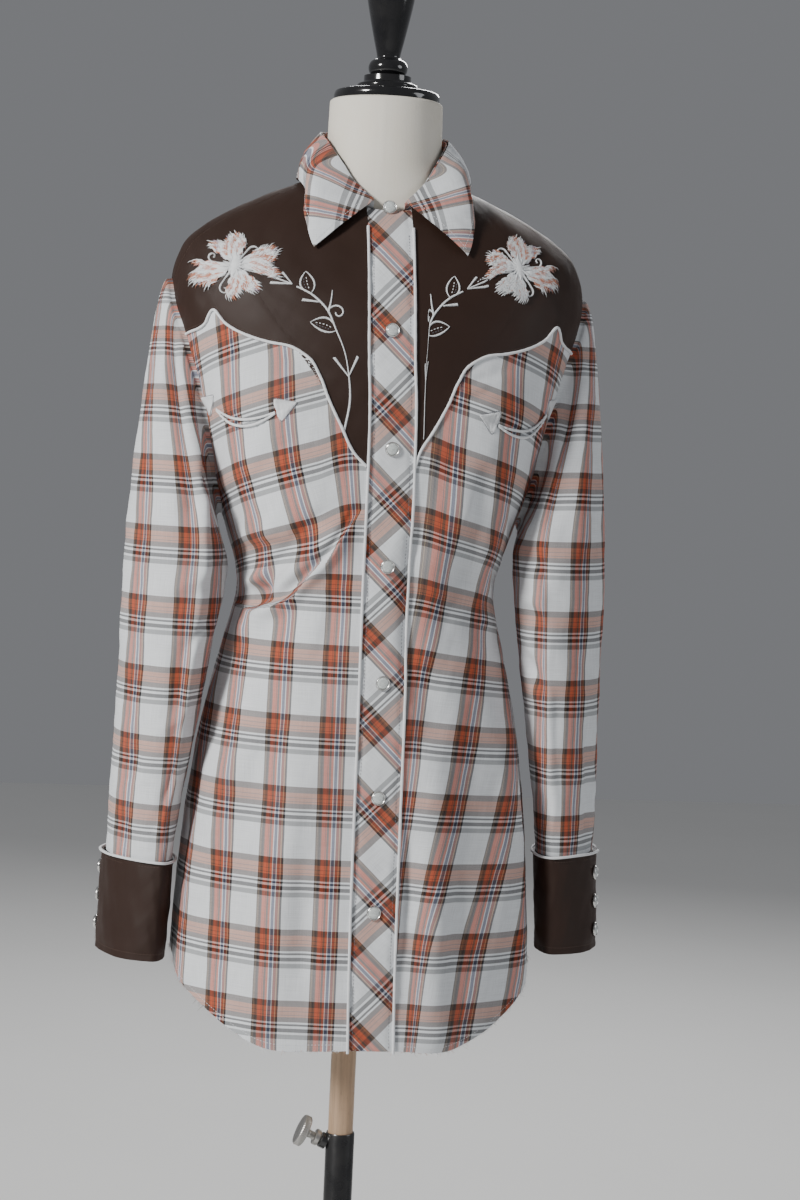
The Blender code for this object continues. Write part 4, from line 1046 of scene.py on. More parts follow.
def plaid_material():
    look = bpy.context.scene.shirt_cloth
    made, n, bsdf = begin_material(
        "plaid_cotton", 0.86, Sheen_Weight=0.03, Sheen_Roughness=0.45, Specular_IOR_Level=0.2)
    place = flat_place(n)
    weave = n.group(shared("Weave"), Place=place, Pitch=look.thread_pitch, Streak=1.7)
    plaid = n.group(
        shared("Plaid"), Place=place, Warp_Repeat=look.warp_repeat, Weft_Repeat=look.weft_repeat,
        Warp_On_Top=weave.outputs["Warp On Top"], Streaks=weave.outputs["Streaks"])
    wear = n.group(shared("Wear"), Place=own_place(n), Scale=11.0, Amount=0.10)
    n.put(n.mix(wear.outputs["Mask"], plaid.outputs["Color"], PALE_GREY), bsdf.inputs["Base Color"])
    height = n.math("ADD", weave.outputs["Height"], weave.outputs["Streaks"])
    bump(n, bsdf, height, 0.00012, 0.5)
    return made


def brown_material():
    look = bpy.context.scene.shirt_cloth
    made, n, bsdf = begin_material(
        "brown_twill", 0.55, Sheen_Weight=0.06, Sheen_Roughness=0.4, Specular_IOR_Level=0.30,
        Sheen_Tint=(0.75, 0.55, 0.45))
    place = flat_place(n)
    weave = n.group(shared("Weave"), Place=place, Pitch=look.thread_pitch, Streak=0.8)
    split = n.add("ShaderNodeSeparateXYZ")
    n.put(place, split.inputs[0])
    slant = n.math("ADD", split.outputs["X"], split.outputs["Y"])
    ribs = n.math("SINE", n.math("MULTIPLY", slant, TWO_PI / (look.thread_pitch * 1.7)))
    wear = n.group(shared("Wear"), Place=own_place(n), Scale=14.0, Amount=0.35)
    worn = n.mix(wear.outputs["Mask"], tuple(look.brown), tuple(1.5 * c for c in look.brown))
    tone = n.remap(weave.outputs["Streaks"], 0.25, 0.75, 0.0, 0.5)
    dark = tuple(0.62 * c for c in look.brown)
    n.put(n.mix(tone, worn, dark), bsdf.inputs["Base Color"])
    n.put(n.remap(wear.outputs["Mask"], 0.0, 0.35, 0.50, 0.64), bsdf.inputs["Roughness"])
    bump(n, bsdf, n.math("MULTIPLY_ADD", ribs, 0.5, weave.outputs["Height"]), 0.00010, 0.5)
    return made


def thread_material(name, colour, roughness=0.5, pitch=0.00045):
    """Corded or satin thread: a twist in relief, and slightly uneven whiteness."""
    made, n, bsdf = begin_material(
        name, roughness, Sheen_Weight=0.2, Sheen_Roughness=0.3, Specular_IOR_Level=0.4)
    place = own_place(n)
    wear = n.group(shared("Wear"), Place=place, Scale=160.0, Amount=0.5)
    shade = tuple(0.80 * c for c in colour)
    n.put(n.mix(wear.outputs["Mask"], colour, shade), bsdf.inputs["Base Color"])
    split = n.add("ShaderNodeSeparateXYZ")
    n.put(place, split.inputs[0])
    slant = n.math("ADD", n.math("ADD", split.outputs["X"], split.outputs["Z"]), split.outputs["Y"])
    twist = n.math("SINE", n.math("MULTIPLY", slant, TWO_PI / pitch))
    bump(n, bsdf, twist, 0.00006, 0.6)
    return made


def pearl_material():
    made, n, bsdf = begin_material(
        "pearl_cap", 0.16, Coat_Weight=0.6, Coat_Roughness=0.05, Subsurface_Weight=0.15,
        Subsurface_Radius=(0.002, 0.002, 0.002))
    place = own_place(n)
    clouds = n.noise(n.stretch(place, (1, 1, 2.4)), 420.0, 4.0, 0.65)
    pearl = tuple(bpy.context.scene.shirt_trim.pearl)
    veins = n.remap(clouds, 0.38, 0.66, 0.0, 1.0)
    n.put(n.mix(veins, tuple(0.72 * c for c in pearl), pearl), bsdf.inputs["Base Color"])
    grain = n.group(shared("Grain"), Place=place, Scale=500.0, Detail=2.0)
    bump(n, bsdf, grain.outputs["Height"], 0.00005, 0.3)
    return made


def metal_material(name, colour, roughness, worn, stretch=(1, 1, 1)):
    made, n, bsdf = begin_material(name, roughness, Metallic=1.0)
    place = own_place(n)
    wear = n.group(shared("Wear"), Place=place, Scale=90.0, Amount=0.8)
    n.put(n.mix(wear.outputs["Mask"], colour, worn), bsdf.inputs["Base Color"])
    n.put(n.remap(wear.outputs["Mask"], 0.0, 0.8, roughness, roughness + 0.2), bsdf.inputs["Roughness"])
    grain = n.group(shared("Grain"), Place=n.stretch(place, stretch), Scale=900.0, Detail=3.0)
    bump(n, bsdf, grain.outputs["Height"], 0.00004, 0.5)
    return made


def canvas_material():
    """Painted canvas of the form: brushed relief, and a little yellowing."""
    colour = tuple(bpy.context.scene.shirt_form.canvas)
    made, n, bsdf = begin_material("form_canvas", 0.72, Specular_IOR_Level=0.3)
    place = own_place(n)
    wear = n.group(shared("Wear"), Place=place, Scale=16.0, Amount=0.55)
    aged = (colour[0] * 0.93, colour[1] * 0.89, colour[2] * 0.80)
    n.put(n.mix(wear.outputs["Mask"], colour, aged), bsdf.inputs["Base Color"])
    weave = n.group(shared("Weave"), Place=n.stretch(place, (1, 1, 1)), Pitch=0.0009, Streak=1.0)
    grain = n.group(shared("Grain"), Place=place, Scale=480.0, Detail=4.0)
    bump(n, bsdf, n.math("ADD", grain.outputs["Height"], weave.outputs["Streaks"]), 0.00025, 0.6)
    return made


def lacquer_material():
    made, n, bsdf = begin_material("black_lacquer", 0.14, Coat_Weight=0.8, Coat_Roughness=0.04)
    place = own_place(n)
    dust = n.group(shared("Wear"), Place=place, Scale=55.0, Amount=0.5)
    shade = n.mix(dust.outputs["Mask"], (0.006, 0.006, 0.007), (0.020, 0.019, 0.018))
    n.put(shade, bsdf.inputs["Base Color"])
    n.put(n.remap(dust.outputs["Mask"], 0.0, 0.5, 0.10, 0.22), bsdf.inputs["Roughness"])
    grain = n.group(shared("Grain"), Place=n.stretch(place, (1, 1, 0.15)), Scale=260.0, Detail=2.0)
    bump(n, bsdf, grain.outputs["Height"], 0.00006, 0.4)
    return made


def beech_material():
    """Pale waxed wood: long streaks, small flecks, darker with handling."""
    colour = tuple(bpy.context.scene.shirt_form.wood)
    made, n, bsdf = begin_material("beech_wood", 0.42, Specular_IOR_Level=0.4, Coat_Weight=0.15)
    place = own_place(n)
    streaks = n.noise(n.stretch(place, (1, 1, 0.035)), 320.0, 4.0, 0.6)
    flecks = n.noise(n.stretch(place, (1, 1, 0.12)), 1100.0, 2.0, 0.5)
    wear = n.group(shared("Wear"), Place=place, Scale=12.0, Amount=0.5)
    dark = tuple(0.62 * c for c in colour)
    wood = n.mix(n.remap(streaks, 0.35, 0.70, 0.0, 0.8), colour, dark)
    wood = n.mix(n.remap(flecks, 0.62, 0.74, 0.0, 0.45), wood, tuple(0.45 * c for c in colour))
    n.put(n.mix(wear.outputs["Mask"], wood, tuple(0.80 * c for c in colour)), bsdf.inputs["Base Color"])
    bump(n, bsdf, streaks, 0.00012, 0.5)
    return made


def steel_paint_material():
    made, n, bsdf = begin_material("black_steel", 0.26, Coat_Weight=0.5, Coat_Roughness=0.1)
    place = own_place(n)
    wear = n.group(shared("Wear"), Place=place, Scale=30.0, Amount=0.7)
    shade = n.mix(wear.outputs["Mask"], (0.010, 0.010, 0.011), (0.026, 0.025, 0.024))
    n.put(shade, bsdf.inputs["Base Color"])
    n.put(n.remap(wear.outputs["Mask"], 0.0, 0.7, 0.22, 0.42), bsdf.inputs["Roughness"])
    grain = n.group(shared("Grain"), Place=place, Scale=420.0, Detail=2.0)
    bump(n, bsdf, grain.outputs["Height"], 0.00010, 0.4)
    return made


def floor_material():
    made, n, bsdf = begin_material("studio_floor", 0.8)
    clouds = n.group(shared("Wear"), Place=own_place(n), Scale=2.0, Amount=0.4)
    floor = tuple(bpy.context.scene.shirt_stage.floor)
    n.put(n.mix(clouds.outputs["Mask"], floor, tuple(0.94 * c for c in floor)), bsdf.inputs["Base Color"])
    return made


MATERIALS = {}


def finish(name):
    """A finish by its name, made once."""
    cloth = bpy.context.scene.shirt_cloth
    makers = {
        "plaid": plaid_material,
        "brown": brown_material,
        "piping": lambda: thread_material("white_piping", tuple(cloth.piping), 0.55, 0.0009),
        "white_thread": lambda: thread_material("white_thread", WHITE, 0.45),
        "grey_thread": lambda: thread_material("grey_thread", (0.16, 0.16, 0.19), 0.5),
        "salmon_thread": lambda: thread_material("salmon_thread", (0.66, 0.36, 0.31), 0.45),
        "mauve_thread": lambda: thread_material("mauve_thread", (0.48, 0.38, 0.46), 0.45),
        "brown_thread": lambda: thread_material("brown_thread", (0.10, 0.06, 0.045), 0.5),
        "orange_thread": lambda: thread_material("orange_thread", (0.58, 0.24, 0.15), 0.5),
        "pearl": pearl_material,
        "snap_ring": lambda: metal_material("snap_ring", (0.72, 0.72, 0.71), 0.22, (0.45, 0.44, 0.42)),
        "steel": lambda: metal_material("bright_steel", (0.58, 0.57, 0.55), 0.32, (0.30, 0.28, 0.26)),
        "canvas": canvas_material,
        "lacquer": lacquer_material,
        "beech": beech_material,
        "black_steel": steel_paint_material,
        "floor": floor_material,
    }
    if name not in MATERIALS:
        MATERIALS[name] = makers[name]()
    return MATERIALS[name]


# Cloth pieces: points on the worn surface, and their flat places for the plaid

SWING = {  # true height, and how far the warp has swung towards the wearer's left
    -1: (
        (0.60, 0.0), (0.95, 0.0), (1.00, 0.022), (1.061, 0.021), (1.0965, 0.017),
        (1.154, 0.0015), (1.232, -0.009), (1.33, -0.016),
    ),
    1: (
        (0.60, -0.070), (0.666, -0.0617), (0.722, -0.0539), (0.782, -0.041), (0.853, -0.0262),
        (0.975, -0.0065), (1.031, 0.0046), (1.10, 0.010), (1.24, 0.021), (1.33, 0.030),
    ),
}
EASE = {  # true height, and how much the cloth's width is eased
    -1: ((0.60, 1.0), (1.00, 1.0), (1.33, 1.0)),
    1: ((0.60, 0.80), (0.98, 0.80), (1.05, 0.83), (1.20, 0.93), (1.33, 0.95)),
}
DROOP = {  # true height, and the weft's slope down towards the armhole
    -1: ((0.60, 0.00), (0.90, 0.00), (1.00, 0.10), (1.08, 0.24), (1.20, 0.31), (1.33, 0.30)),
    1: ((0.60, 0.03), (0.80, 0.06), (0.95, 0.12), (1.05, 0.20), (1.15, 0.26), (1.33, 0.34)),
}
HIDDEN_IN_FOLD = 0.010  # length of cloth tucked behind the right front's big fold


def front_flat(side, angle, height):
    """Flat places of a front's cloth, with the grain swung as it hangs."""
    look = bpy.context.scene.shirt_cloth
    across = around_body(angle, height)
    z = torso_base(angle, height)[..., 2]
    away = side * across
    hidden = HIDDEN_IN_FOLD if side < 0 else 0.0
    free = smooth_step(0.018, 0.060, away)
    swing = smooth_read(SWING[side], 1, z)
    droop = smooth_read(DROOP[side], 1, z)
    if side < 0:
        fold = smooth_read(WAIST_FOLD, 1, away)
        above = smooth_step(-0.003, 0.003, z - fold)
        swing = np.where(z > 0.97, swing, 0) * above
        swing = swing + hidden * 0.4 * above * smooth_step(1.13, 1.05, z)
        droop = droop * above
        z = z + hidden * above * smooth_step(1.16, 1.06, z) * free
    eased = across * smooth_read(EASE[side], 1, z)
    u = eased - swing * (0.35 + 0.65 * free) + look.warp_start[0 if side < 0 else 1]
    v = z + droop * (away - 0.030) * free + look.weft_start
    return np.stack([u, v], -1)


def body_flat(angle, height):
    look = bpy.context.scene.shirt_cloth
    z = torso_base(angle, height)[..., 2]
    return np.stack([around_body(angle, height), z + look.weft_start], -1)


def drawn_in(points, amount):
    """A grid with its border moved in from the seams."""
    moved = points.copy()
    for edge, inward in ((0, 1), (-1, -2)):
        moved[edge] += unit(points[inward] - points[edge]) * amount
        moved[:, edge] += unit(points[:, inward] - points[:, edge]) * amount
    return moved


def body_shell(name, places, flat, material, low=0.0004, high=CLOTH):
    angle, height = places[..., 0], places[..., 1]
    rise, out, base = cloth_rise(angle, height), torso_normal(angle, height), torso_base(angle, height)
    inner = drawn_in(base + out * (low + rise)[..., None], SEAM / 2)
    outer = drawn_in(base + out * (high + rise)[..., None], SEAM / 2)
    return shell(name, inner, outer, flat, finish(material), flip=places[0, 0, 0] > places[0, -1, 0])


def joined_edges(*lines):
    return np.concatenate([lines[0]] + [line[1:] for line in lines[1:]])


def armhole_line(start, end, count):
    return armhole(np.linspace(start, end, count) % len(ARMHOLE))


def make_front(side, word):
    columns, low_rows, arm_rows = 92, 160, 60
    rows = low_rows + arm_rows - 1
    hem = float(smooth_read(HEM, 1, 8))
    inner_edge = placket_edge(side, hem, YOKE_POINT, rows)
    outer_edge = to_side(joined_edges(side_seam(low_rows), armhole_line(0, YOKE_END, arm_rows)), side)
    top = front_yoke_edge(side, columns)
    bottom = hem_line(inner_edge[0, 0], side * SIDE_SEAM_HEM_ANGLE, columns)
    places = coons(bottom, top, inner_edge, outer_edge)
    flat = front_flat(side, places[..., 0], places[..., 1])
    made = body_shell(f"front_{word}_cloth", places, flat, "plaid")
    declare_cloth(made, f"front_{word}")


def make_back():
    columns, low_rows, arm_rows = 150, 92, 40
    top = back_yoke_edge(columns)
    bottom = hem_line(SIDE_SEAM_HEM_ANGLE, 360 - SIDE_SEAM_HEM_ANGLE, columns)
    arm = armhole_line(len(ARMHOLE) - 1e-6, BACK_YOKE_END, arm_rows)
    near = joined_edges(side_seam(low_rows), arm)
    far = near * np.array([-1, 1]) + np.array([360, 0])
    places = coons(bottom, top, near, far)
    flat = body_flat(places[..., 0], places[..., 1])
    flat[..., 0] -= around_body(np.full(places.shape[:2], 180.0), places[..., 1])
    made = body_shell("back_cloth", places, flat, "plaid")
    declare_cloth(made, "back_panel")


def shoulder_line(count):
    return smooth_line([tuple(armhole(SHOULDER_END)[0]), *SHOULDER_SEAM], count)


def neck_line(start, end, count):
    angles = np.linspace(start, end, count)
    return np.stack([angles, np.full(count, NECK)], -1)


def surface_flat(points):
    """Flat places of a grid that hardly stretches, from its own lengths."""
    across = np.concatenate([0 * points[:, :1, 0], np.cumsum(
        np.linalg.norm(np.diff(points, axis=1), axis=2), axis=1)], axis=1)
    along = np.concatenate([0 * points[:1, :, 0], np.cumsum(
        np.linalg.norm(np.diff(points, axis=0), axis=2), axis=0)], axis=0)
    return np.stack([across - across.mean(1, keepdims=True), along], -1)


def make_front_yoke(side, word):
    columns, rows, neck_columns = 72, 64, 26
    edge = front_yoke_edge(side, columns)
    share = np.linspace(0, 1, rows)
    heights = YOKE_POINT + (NECK - YOKE_POINT) * (1 - (1 - share) ** 1.5)
    inner_edge = np.stack([placket_angle(side, heights), heights], -1)
    seam = to_side(shoulder_line(columns - neck_columns + 1)[::-1], side)
    neck = neck_line(inner_edge[-1, 0], side * NECK_ANGLE, neck_columns)
    outer_edge = to_side(armhole_line(YOKE_END, SHOULDER_END, rows), side)
    places = coons(edge, joined_edges(neck, seam), inner_edge, outer_edge)
    flat = surface_flat(torso_base(places[..., 0], places[..., 1]))
    made = body_shell(f"front_yoke_{word}_cloth", places, flat, "brown")
    declare_cloth(made, f"yoke_front_{word}")


def make_back_yoke():
    rows, seam_columns, neck_columns = 60, 40, 44
    shoulder = shoulder_line(seam_columns)
    neck = neck_line(NECK_ANGLE, 360 - NECK_ANGLE, neck_columns)
    far = shoulder[::-1] * np.array([-1, 1]) + np.array([360, 0])
    top = joined_edges(shoulder, neck, far)
    bottom = back_yoke_edge(len(top))
    near = armhole_line(BACK_YOKE_END, SHOULDER_END, rows)
    places = coons(bottom, top, near, near * np.array([-1, 1]) + np.array([360, 0]))
    flat = surface_flat(torso_base(places[..., 0], places[..., 1]))
    made = body_shell("back_yoke_cloth", places, flat, "brown")
    declare_cloth(made, "yoke_back")


def placket_flat(across, z):
    """The placket is cut on the bias, so its plaid lies at 45 degrees."""
    look = bpy.context.scene.shirt_cloth
    half = math.sqrt(0.5)
    return np.stack([(-across - z) * half + look.placket_start, (across - z) * half], -1)


def make_placket():
    rows, columns = 420, 26
    hem = float(smooth_read(HEM, 1, 8))
    edges = [placket_edge(side, hem, NECK - 2 * SEAM, rows) for side in (-1, 1)]
    share = np.linspace(0, 1, columns)[None, :, None]
    places = edges[0][:, None] * (1 - share) + edges[1][:, None] * share
    angle, height = places[..., 0], places[..., 1]
    half = HALF_PLACKET * (2 * share[..., 0] - 1)
    base = torso_base(angle, height)
    flat = placket_flat(half + 0 * height, base[..., 2])
    quilt = np.exp(-(((np.abs(half) - 0.0165) / 0.0022) ** 2))
    puckers = 0.00022 * np.sin(TWO_PI * base[..., 2] / 0.0105 + 9 * half / HALF_PLACKET)
    puckers = puckers + 0.00030 * np.sin(TWO_PI * (base[..., 2] + half) / 0.037)
    swell = 0.0007 * (1 - (half / HALF_PLACKET) ** 4) - 0.0005 * quilt + puckers * (0.4 + quilt)
    rise = cloth_rise(angle, height) + swell
    out = torso_normal(angle, height)
    inner = drawn_in(base + out * (0.0004 + rise)[..., None], SEAM / 2)
    outer = drawn_in(base + out * (CLOTH + rise)[..., None], SEAM / 2)
    made = shell("placket_cloth", inner, outer, flat, finish("plaid"))
    stand_in(made, "placket")


def section(half_thick, half_wide, turn_degrees, shares, side):
    """Points round a flattened sleeve ring: share 0 faces the body, 0.25 the front."""
    turn = TWO_PI * shares
    cosine, sine = np.cos(turn), np.sin(turn)
    thick = half_thick * np.sign(cosine) * np.abs(cosine) ** SECTION_POINTINESS
    wide = half_wide * sine
    t = np.radians(turn_degrees)
    inward = np.stack([-np.cos(t) * side, np.sin(t)], -1)
    ahead = np.stack([-np.sin(t) * side, -np.cos(t)], -1)
    return thick[..., None] * inward + wide[..., None] * ahead


def sleeve_rings(heights, shares, side):
    """Sleeve rings at several heights."""
    heights = np.asarray(heights, float)[:, None] + 0 * shares[None]
    across, forward, thick, wide, turn = (smooth_read(SLEEVE, k, heights) for k in range(1, 6))
    flat = section(thick, wide, turn, shares[None] + 0 * heights, side)
    flat = flat + np.stack([side * across, -forward], -1)
    return np.concatenate([flat, (heights + SLEEVE_SHIFT[side])[..., None]], -1)


def grid_normals(grid, closed):
    if closed:
        across = np.concatenate([grid[:, 1:2] - grid[:, -2:-1], grid[:, 2:] - grid[:, :-2],
                                 grid[:, 1:2] - grid[:, -2:-1]], axis=1)
    else:
        across = np.gradient(grid, axis=1)
    return unit(np.cross(across, np.gradient(grid, axis=0)))


def make_sleeve(side, word):
    columns, cap_rows, arm_rows = 101, 54, 92
    places = np.linspace(0, len(ARMHOLE), columns)
    shares = places / len(ARMHOLE)
    edge = to_side(armhole(places % len(ARMHOLE)), side)
    start = torso(edge[:, 0], edge[:, 1], 0.0004)
    opened = start + unit(start[:-1].mean(0) - start) * SEAM
    outward = np.array([side * 1.0, 0.0, 0.0])
    end = sleeve_rings([ELBOW], shares, side)[0]
    reach = np.linalg.norm(end - opened, axis=1, keepdims=True)
    first = opened + outward * ARMHOLE_RISE
    leave = outward * np.minimum(reach * 0.55, 0.045)
    arrive = np.array([side * 0.03, 0.0, -1.0]) * reach * 0.95
    rows = [opened, (opened + first) / 2]
    for s in np.linspace(0, 1, cap_rows):
        blend_a, blend_b = 2 * s**3 - 3 * s**2 + 1, s**3 - 2 * s**2 + s
        blend_c, blend_d = 3 * s**2 - 2 * s**3, s**3 - s**2
        rows.append(first * blend_a + leave * blend_b + end * blend_c + arrive * blend_d)
    lower = sleeve_rings(np.linspace(ELBOW, WRIST + SEAM, arm_rows)[1:], shares, side)
    base = np.concatenate([np.stack(rows), lower])
    out = grid_normals(base, True) * -side
    height = base[..., 2] - SLEEVE_SHIFT[side]
    free = smooth_step(0, 7, np.arange(len(base)))[:, None] * smooth_step(0.779, 0.792, height)
    degrees = shares[None] * 360 + 0 * height
    creases = [(a * 360, b, c * 360, d, *rest) for a, b, c, d, *rest in SLEEVE_CREASES[side]]
    rise = crease_rise(degrees, height, 0.055, creases)
    girth = np.linalg.norm(np.diff(base, axis=1), axis=2).sum(1)[:, None]
    seam_dip = 0.0012 * np.exp(-(((np.arange(len(base)) - 2.0) / 2.5) ** 2))[:, None]
    rise = (rise + ripple(shares[None] * girth, height, 0.0003)) * free - seam_dip
    outer = base + out * rise[..., None]
    inner = outer - out * 0.0009
    look = bpy.context.scene.shirt_cloth
    across = side * (shares[None] - 0.5) * girth
    lean = look.sleeve_lean[0 if side < 0 else 1]
    starts = look.sleeve_start[0 if side < 0 else 1]
    along = base[..., 2] + look.sleeve_weft[0 if side < 0 else 1]
    cap = smooth_step(1.20, 1.32, base[..., 2]) * 0.25 * (base[..., 2] - 1.20)
    flat = np.stack([across + starts + lean * (base[..., 2] - 1.0), along + cap + 0 * across], -1)
    made = shell(f"sleeve_{word}_cloth", inner, outer, flat, finish("plaid"), flip=side < 0)
    stand_in(made, f"sleeve_{word}")


def cuff_path(height, shares, side, spare=0.0):
    _, across, forward, thick, wide, turn = SLEEVE[0]
    down = (WRIST - height) / CUFF_HEIGHT
    centre = np.array([side * (across + CUFF_LEAN * down), -forward])
    wave = 0.0012 * down * np.sin(TWO_PI * (1.5 * shares + 0.2))
    flat = section(thick + spare + wave, wide + spare, turn, shares, side)
    lift = np.full((len(flat), 1), height + SLEEVE_SHIFT[side])
    return np.concatenate([flat + centre, lift], 1)


def cuff_out(shares, side, height=WRIST):
    along = unit(cuff_path(height, shares + 0.004, side) - cuff_path(height, shares - 0.004, side))
    return np.stack([along[:, 1], -along[:, 0], along[:, 2] * 0], 1) * side


def lap_step(turns):
    """How far the cuff's lapping end stands outside its first end."""
    return CUFF_LAP * np.clip((turns - (CUFF_TURN - 0.16)) / 0.08, 0, 1)


def make_cuff(side, word):
    columns, rows = 150, 34
    turns = np.linspace(0, CUFF_TURN, columns)
    shares = LAP_START[side] + turns
    heights = np.linspace(WRIST - CUFF_HEIGHT, WRIST - SEAM, rows)
    out = cuff_out(shares, side)
    x = turns * 0.26
    inner, outer = [], []
    for height in heights:
        down = (WRIST - height) / CUFF_HEIGHT
        edge = 0.0004 * math.exp(-(((down - 1) / 0.05) ** 2)) + 0.0004 * math.exp(-((down / 0.05) ** 2))
        rise = ripple(x, height, 0.00035) - 0.0006 * math.exp(-(((down - 0.93) / 0.025) ** 2))
        ring = cuff_path(height, shares, side) + out * (lap_step(turns) + rise)[:, None]
        inner.append(ring)
        outer.append(ring + out * (CUFF_WALL - edge))
    inner, outer = np.stack(inner), np.stack(outer)
    flat = np.stack([x[None] + 0 * outer[..., 0], outer[..., 2]], -1)
    made = shell(f"cuff_{word}_cloth", inner, outer, flat, finish("brown"), flip=side < 0)
    declare_cloth(made, f"cuff_{word}")

    shown = turns > CUFF_TURN - 0.98
    top = cuff_path(WRIST, shares[shown], side)
    radius = bpy.context.scene.shirt_trim.piping_radius
    ring = top + out[shown] * (CUFF_WALL + lap_step(turns)[shown] + radius + SEAM)[:, None]
    ring[:, 2] += 0.0008 * np.sin(TWO_PI * 2.3 * shares[shown])
    piping = cord(f"cuff_piping_{word}_cord", ring, out[shown], radius, finish("piping"))
    stand_in(piping, f"cuff_piping_{word}")
    groups = []
    for down in (0.05, 0.93):
        line = cuff_path(WRIST - CUFF_HEIGHT * down, shares[4:-4], side)
        line = line + out[4:-4] * (lap_step(turns)[4:-4] + CUFF_WALL)[:, None]
        groups.append(stitches_on_points(line, out[4:-4], 0.0022, 0.0008))
    add_threads(f"cuff_stitching_{word}", groups, [finish("brown_thread")])


def ring_point(angle, height, radius):
    turn = np.radians(angle)
    return np.stack([radius * np.sin(turn), -radius * np.cos(turn), height + 0 * turn], -1)


def both_halves(values, last=None):
    """A half round the neck, from one front edge to the back, and its mirror image."""
    other = values[::-1][1:]
    return np.concatenate([values, other if last is None else last - other])


def make_collar():
    half_count = 110
    half = np.linspace(FOLD_LINE[0][0], 180, half_count)
    angles = both_halves(half, 360)
    folded = np.where(angles > 180, 360 - angles, angles)
    fold = ring_point(angles, smooth_read(FOLD_LINE, 1, folded), smooth_read(FOLD_LINE, 2, folded))
    out = ring_point(angles, 0 * angles, 1.0)
    foot = torso(angles, np.full_like(angles, NECK), 0.0) - out * SEAM * 5
    share = np.linspace(0, 1, 18)[:, None, None]
    bowed = foot * (1 - share) + fold * share + out * 0.0012 * np.sin(math.pi * share)
    flat = surface_flat(bowed) + np.array([0.0, 0.013])
    stand = shell("collar_stand_cloth", bowed - out * 0.0011, bowed, flat, finish("plaid"))
    declare_cloth(stand, "collar_stand")

    walked = np.linspace(0, 1, len(LEAF_EDGE))
    table = np.column_stack([walked, np.array(LEAF_EDGE, float)])
    place = np.linspace(0, 1, half_count)
    place = place ** 1.15
    edge_angle, edge_ring, edge_lift = (smooth_read(table, k, place) for k in (1, 2, 3))
    edge = torso(both_halves(edge_angle, 360), both_halves(edge_ring), both_halves(edge_lift) + CLOTH)
    top = fold + out * (CLOTH + SEAM * 2) + np.array([0, 0, SEAM * 3])
    rows = []
    for s in np.linspace(0, 1, 40):
        roll = LEAF_ROLL * 4 * s * (1 - s) * (1 + 0.35 * (1 - s))
        crown = 0.0012 * math.exp(-((s / 0.08) ** 2))
        rows.append(top + (edge - top) * s + out * roll + np.array([0, 0, crown]))
    outer = np.stack(rows)[::-1]
    normals = grid_normals(outer, False)
    flat = collar_flat(outer)
    x = surface_flat(outer)
    outer = outer + normals * ripple(x[..., 0], x[..., 1], 0.00025)[..., None]
    leaf = shell("collar_leaf_cloth", outer - normals * 0.0012, outer, flat, finish("plaid"))
    stand_in(leaf, "collar_leaf")
    groups = []
    for side in (0, 1):
        step = 3 if side == 0 else -4
        front = outer[2:38, step] + normals[2:38, step] * 0.0001
        groups.append(stitches_on_points(front, normals[2:38, step], 0.0024, 0.0008))
    groups.append(stitches_on_points(outer[4], normals[4], 0.0024, 0.0008))
    add_threads("collar_stitching", groups, [finish("white_thread")])


def collar_flat(points):
    """The leaf's plaid: straight with its edge at the back, turned at each point."""
    look = bpy.context.scene.shirt_cloth
    own = surface_flat(points)
    u, v = own[..., 0], own[..., 1]
    turn = look.collar_turn * np.sign(u) * smooth_step(0.10, 0.17, np.abs(u))
    return np.stack([u * np.cos(turn) - v * np.sin(turn) + look.collar_start,
                     u * np.sin(turn) + v * np.cos(turn)], -1)


# Trim


def seam_cord(name, node, places, lift_more=0.0):
    radius = bpy.context.scene.shirt_trim.piping_radius
    lift = CLOTH + SEAM * 0.5 + radius * 0.6 + lift_more
    points = torso(places[:, 0], places[:, 1], lift)
    walked = np.linspace(0, 60, len(points))
    even = radius * (1 + 0.05 * np.sin(walked * 1.7) + 0.04 * np.sin(walked * 4.3 + 1))
    made = cord(name, points, torso_normal(places[:, 0], places[:, 1]), even, finish("piping"))
    return stand_in(made, node)


def make_piping():
    for side, word in SIDES:
        seam_cord(f"yoke_piping_{word}_cord", f"yoke_piping_{word}", front_yoke_edge(side, 260)[2:-2])
        hem = float(smooth_read(HEM, 1, 8))
        line = placket_edge(side, hem - 0.002, NECK - 0.012, 420)
        seam_cord(f"placket_piping_{word}_cord", f"placket_piping_{word}", line, 0.0004)
    seam_cord("yoke_piping_back_cord", "yoke_piping_back", back_yoke_edge(300)[3:-3])


def arrow_points(side, end, along, beside, lift):
    """Points of an arrowhead tab at shares of its length and width, on the front."""
    look = bpy.context.scene.shirt_trim
    angles, heights = lip_curve(side, 0.0, 9)
    at, near = (0, 1) if end == "inner" else (-1, -2)
    tip_side = torso(angles[at], heights[at])
    ahead = unit(tip_side - torso(angles[near], heights[near]))
    up = unit(np.cross(torso_normal(angles[at], heights[at]), ahead))
    start = tip_side + ahead * ARROW_GAP
    along, beside = np.broadcast_arrays(along, beside)
    forward = ahead * (along * look.arrow_length)[..., None]
    moved = start + forward + up * (beside * look.arrow_width)[..., None]
    angle, height = on_front(moved[..., 0], moved[..., 2])
    return torso(angle, height, lift), torso_normal(angle, height), ahead, up


def arrow_half_width(along):
    """Half width of an arrowhead at a share of its length: barbs near the pocket, then a tip."""
    return np.interp(along, (0.02, 0.10, 0.16, 1.0), (0.30, 0.50, 0.49, 0.03))


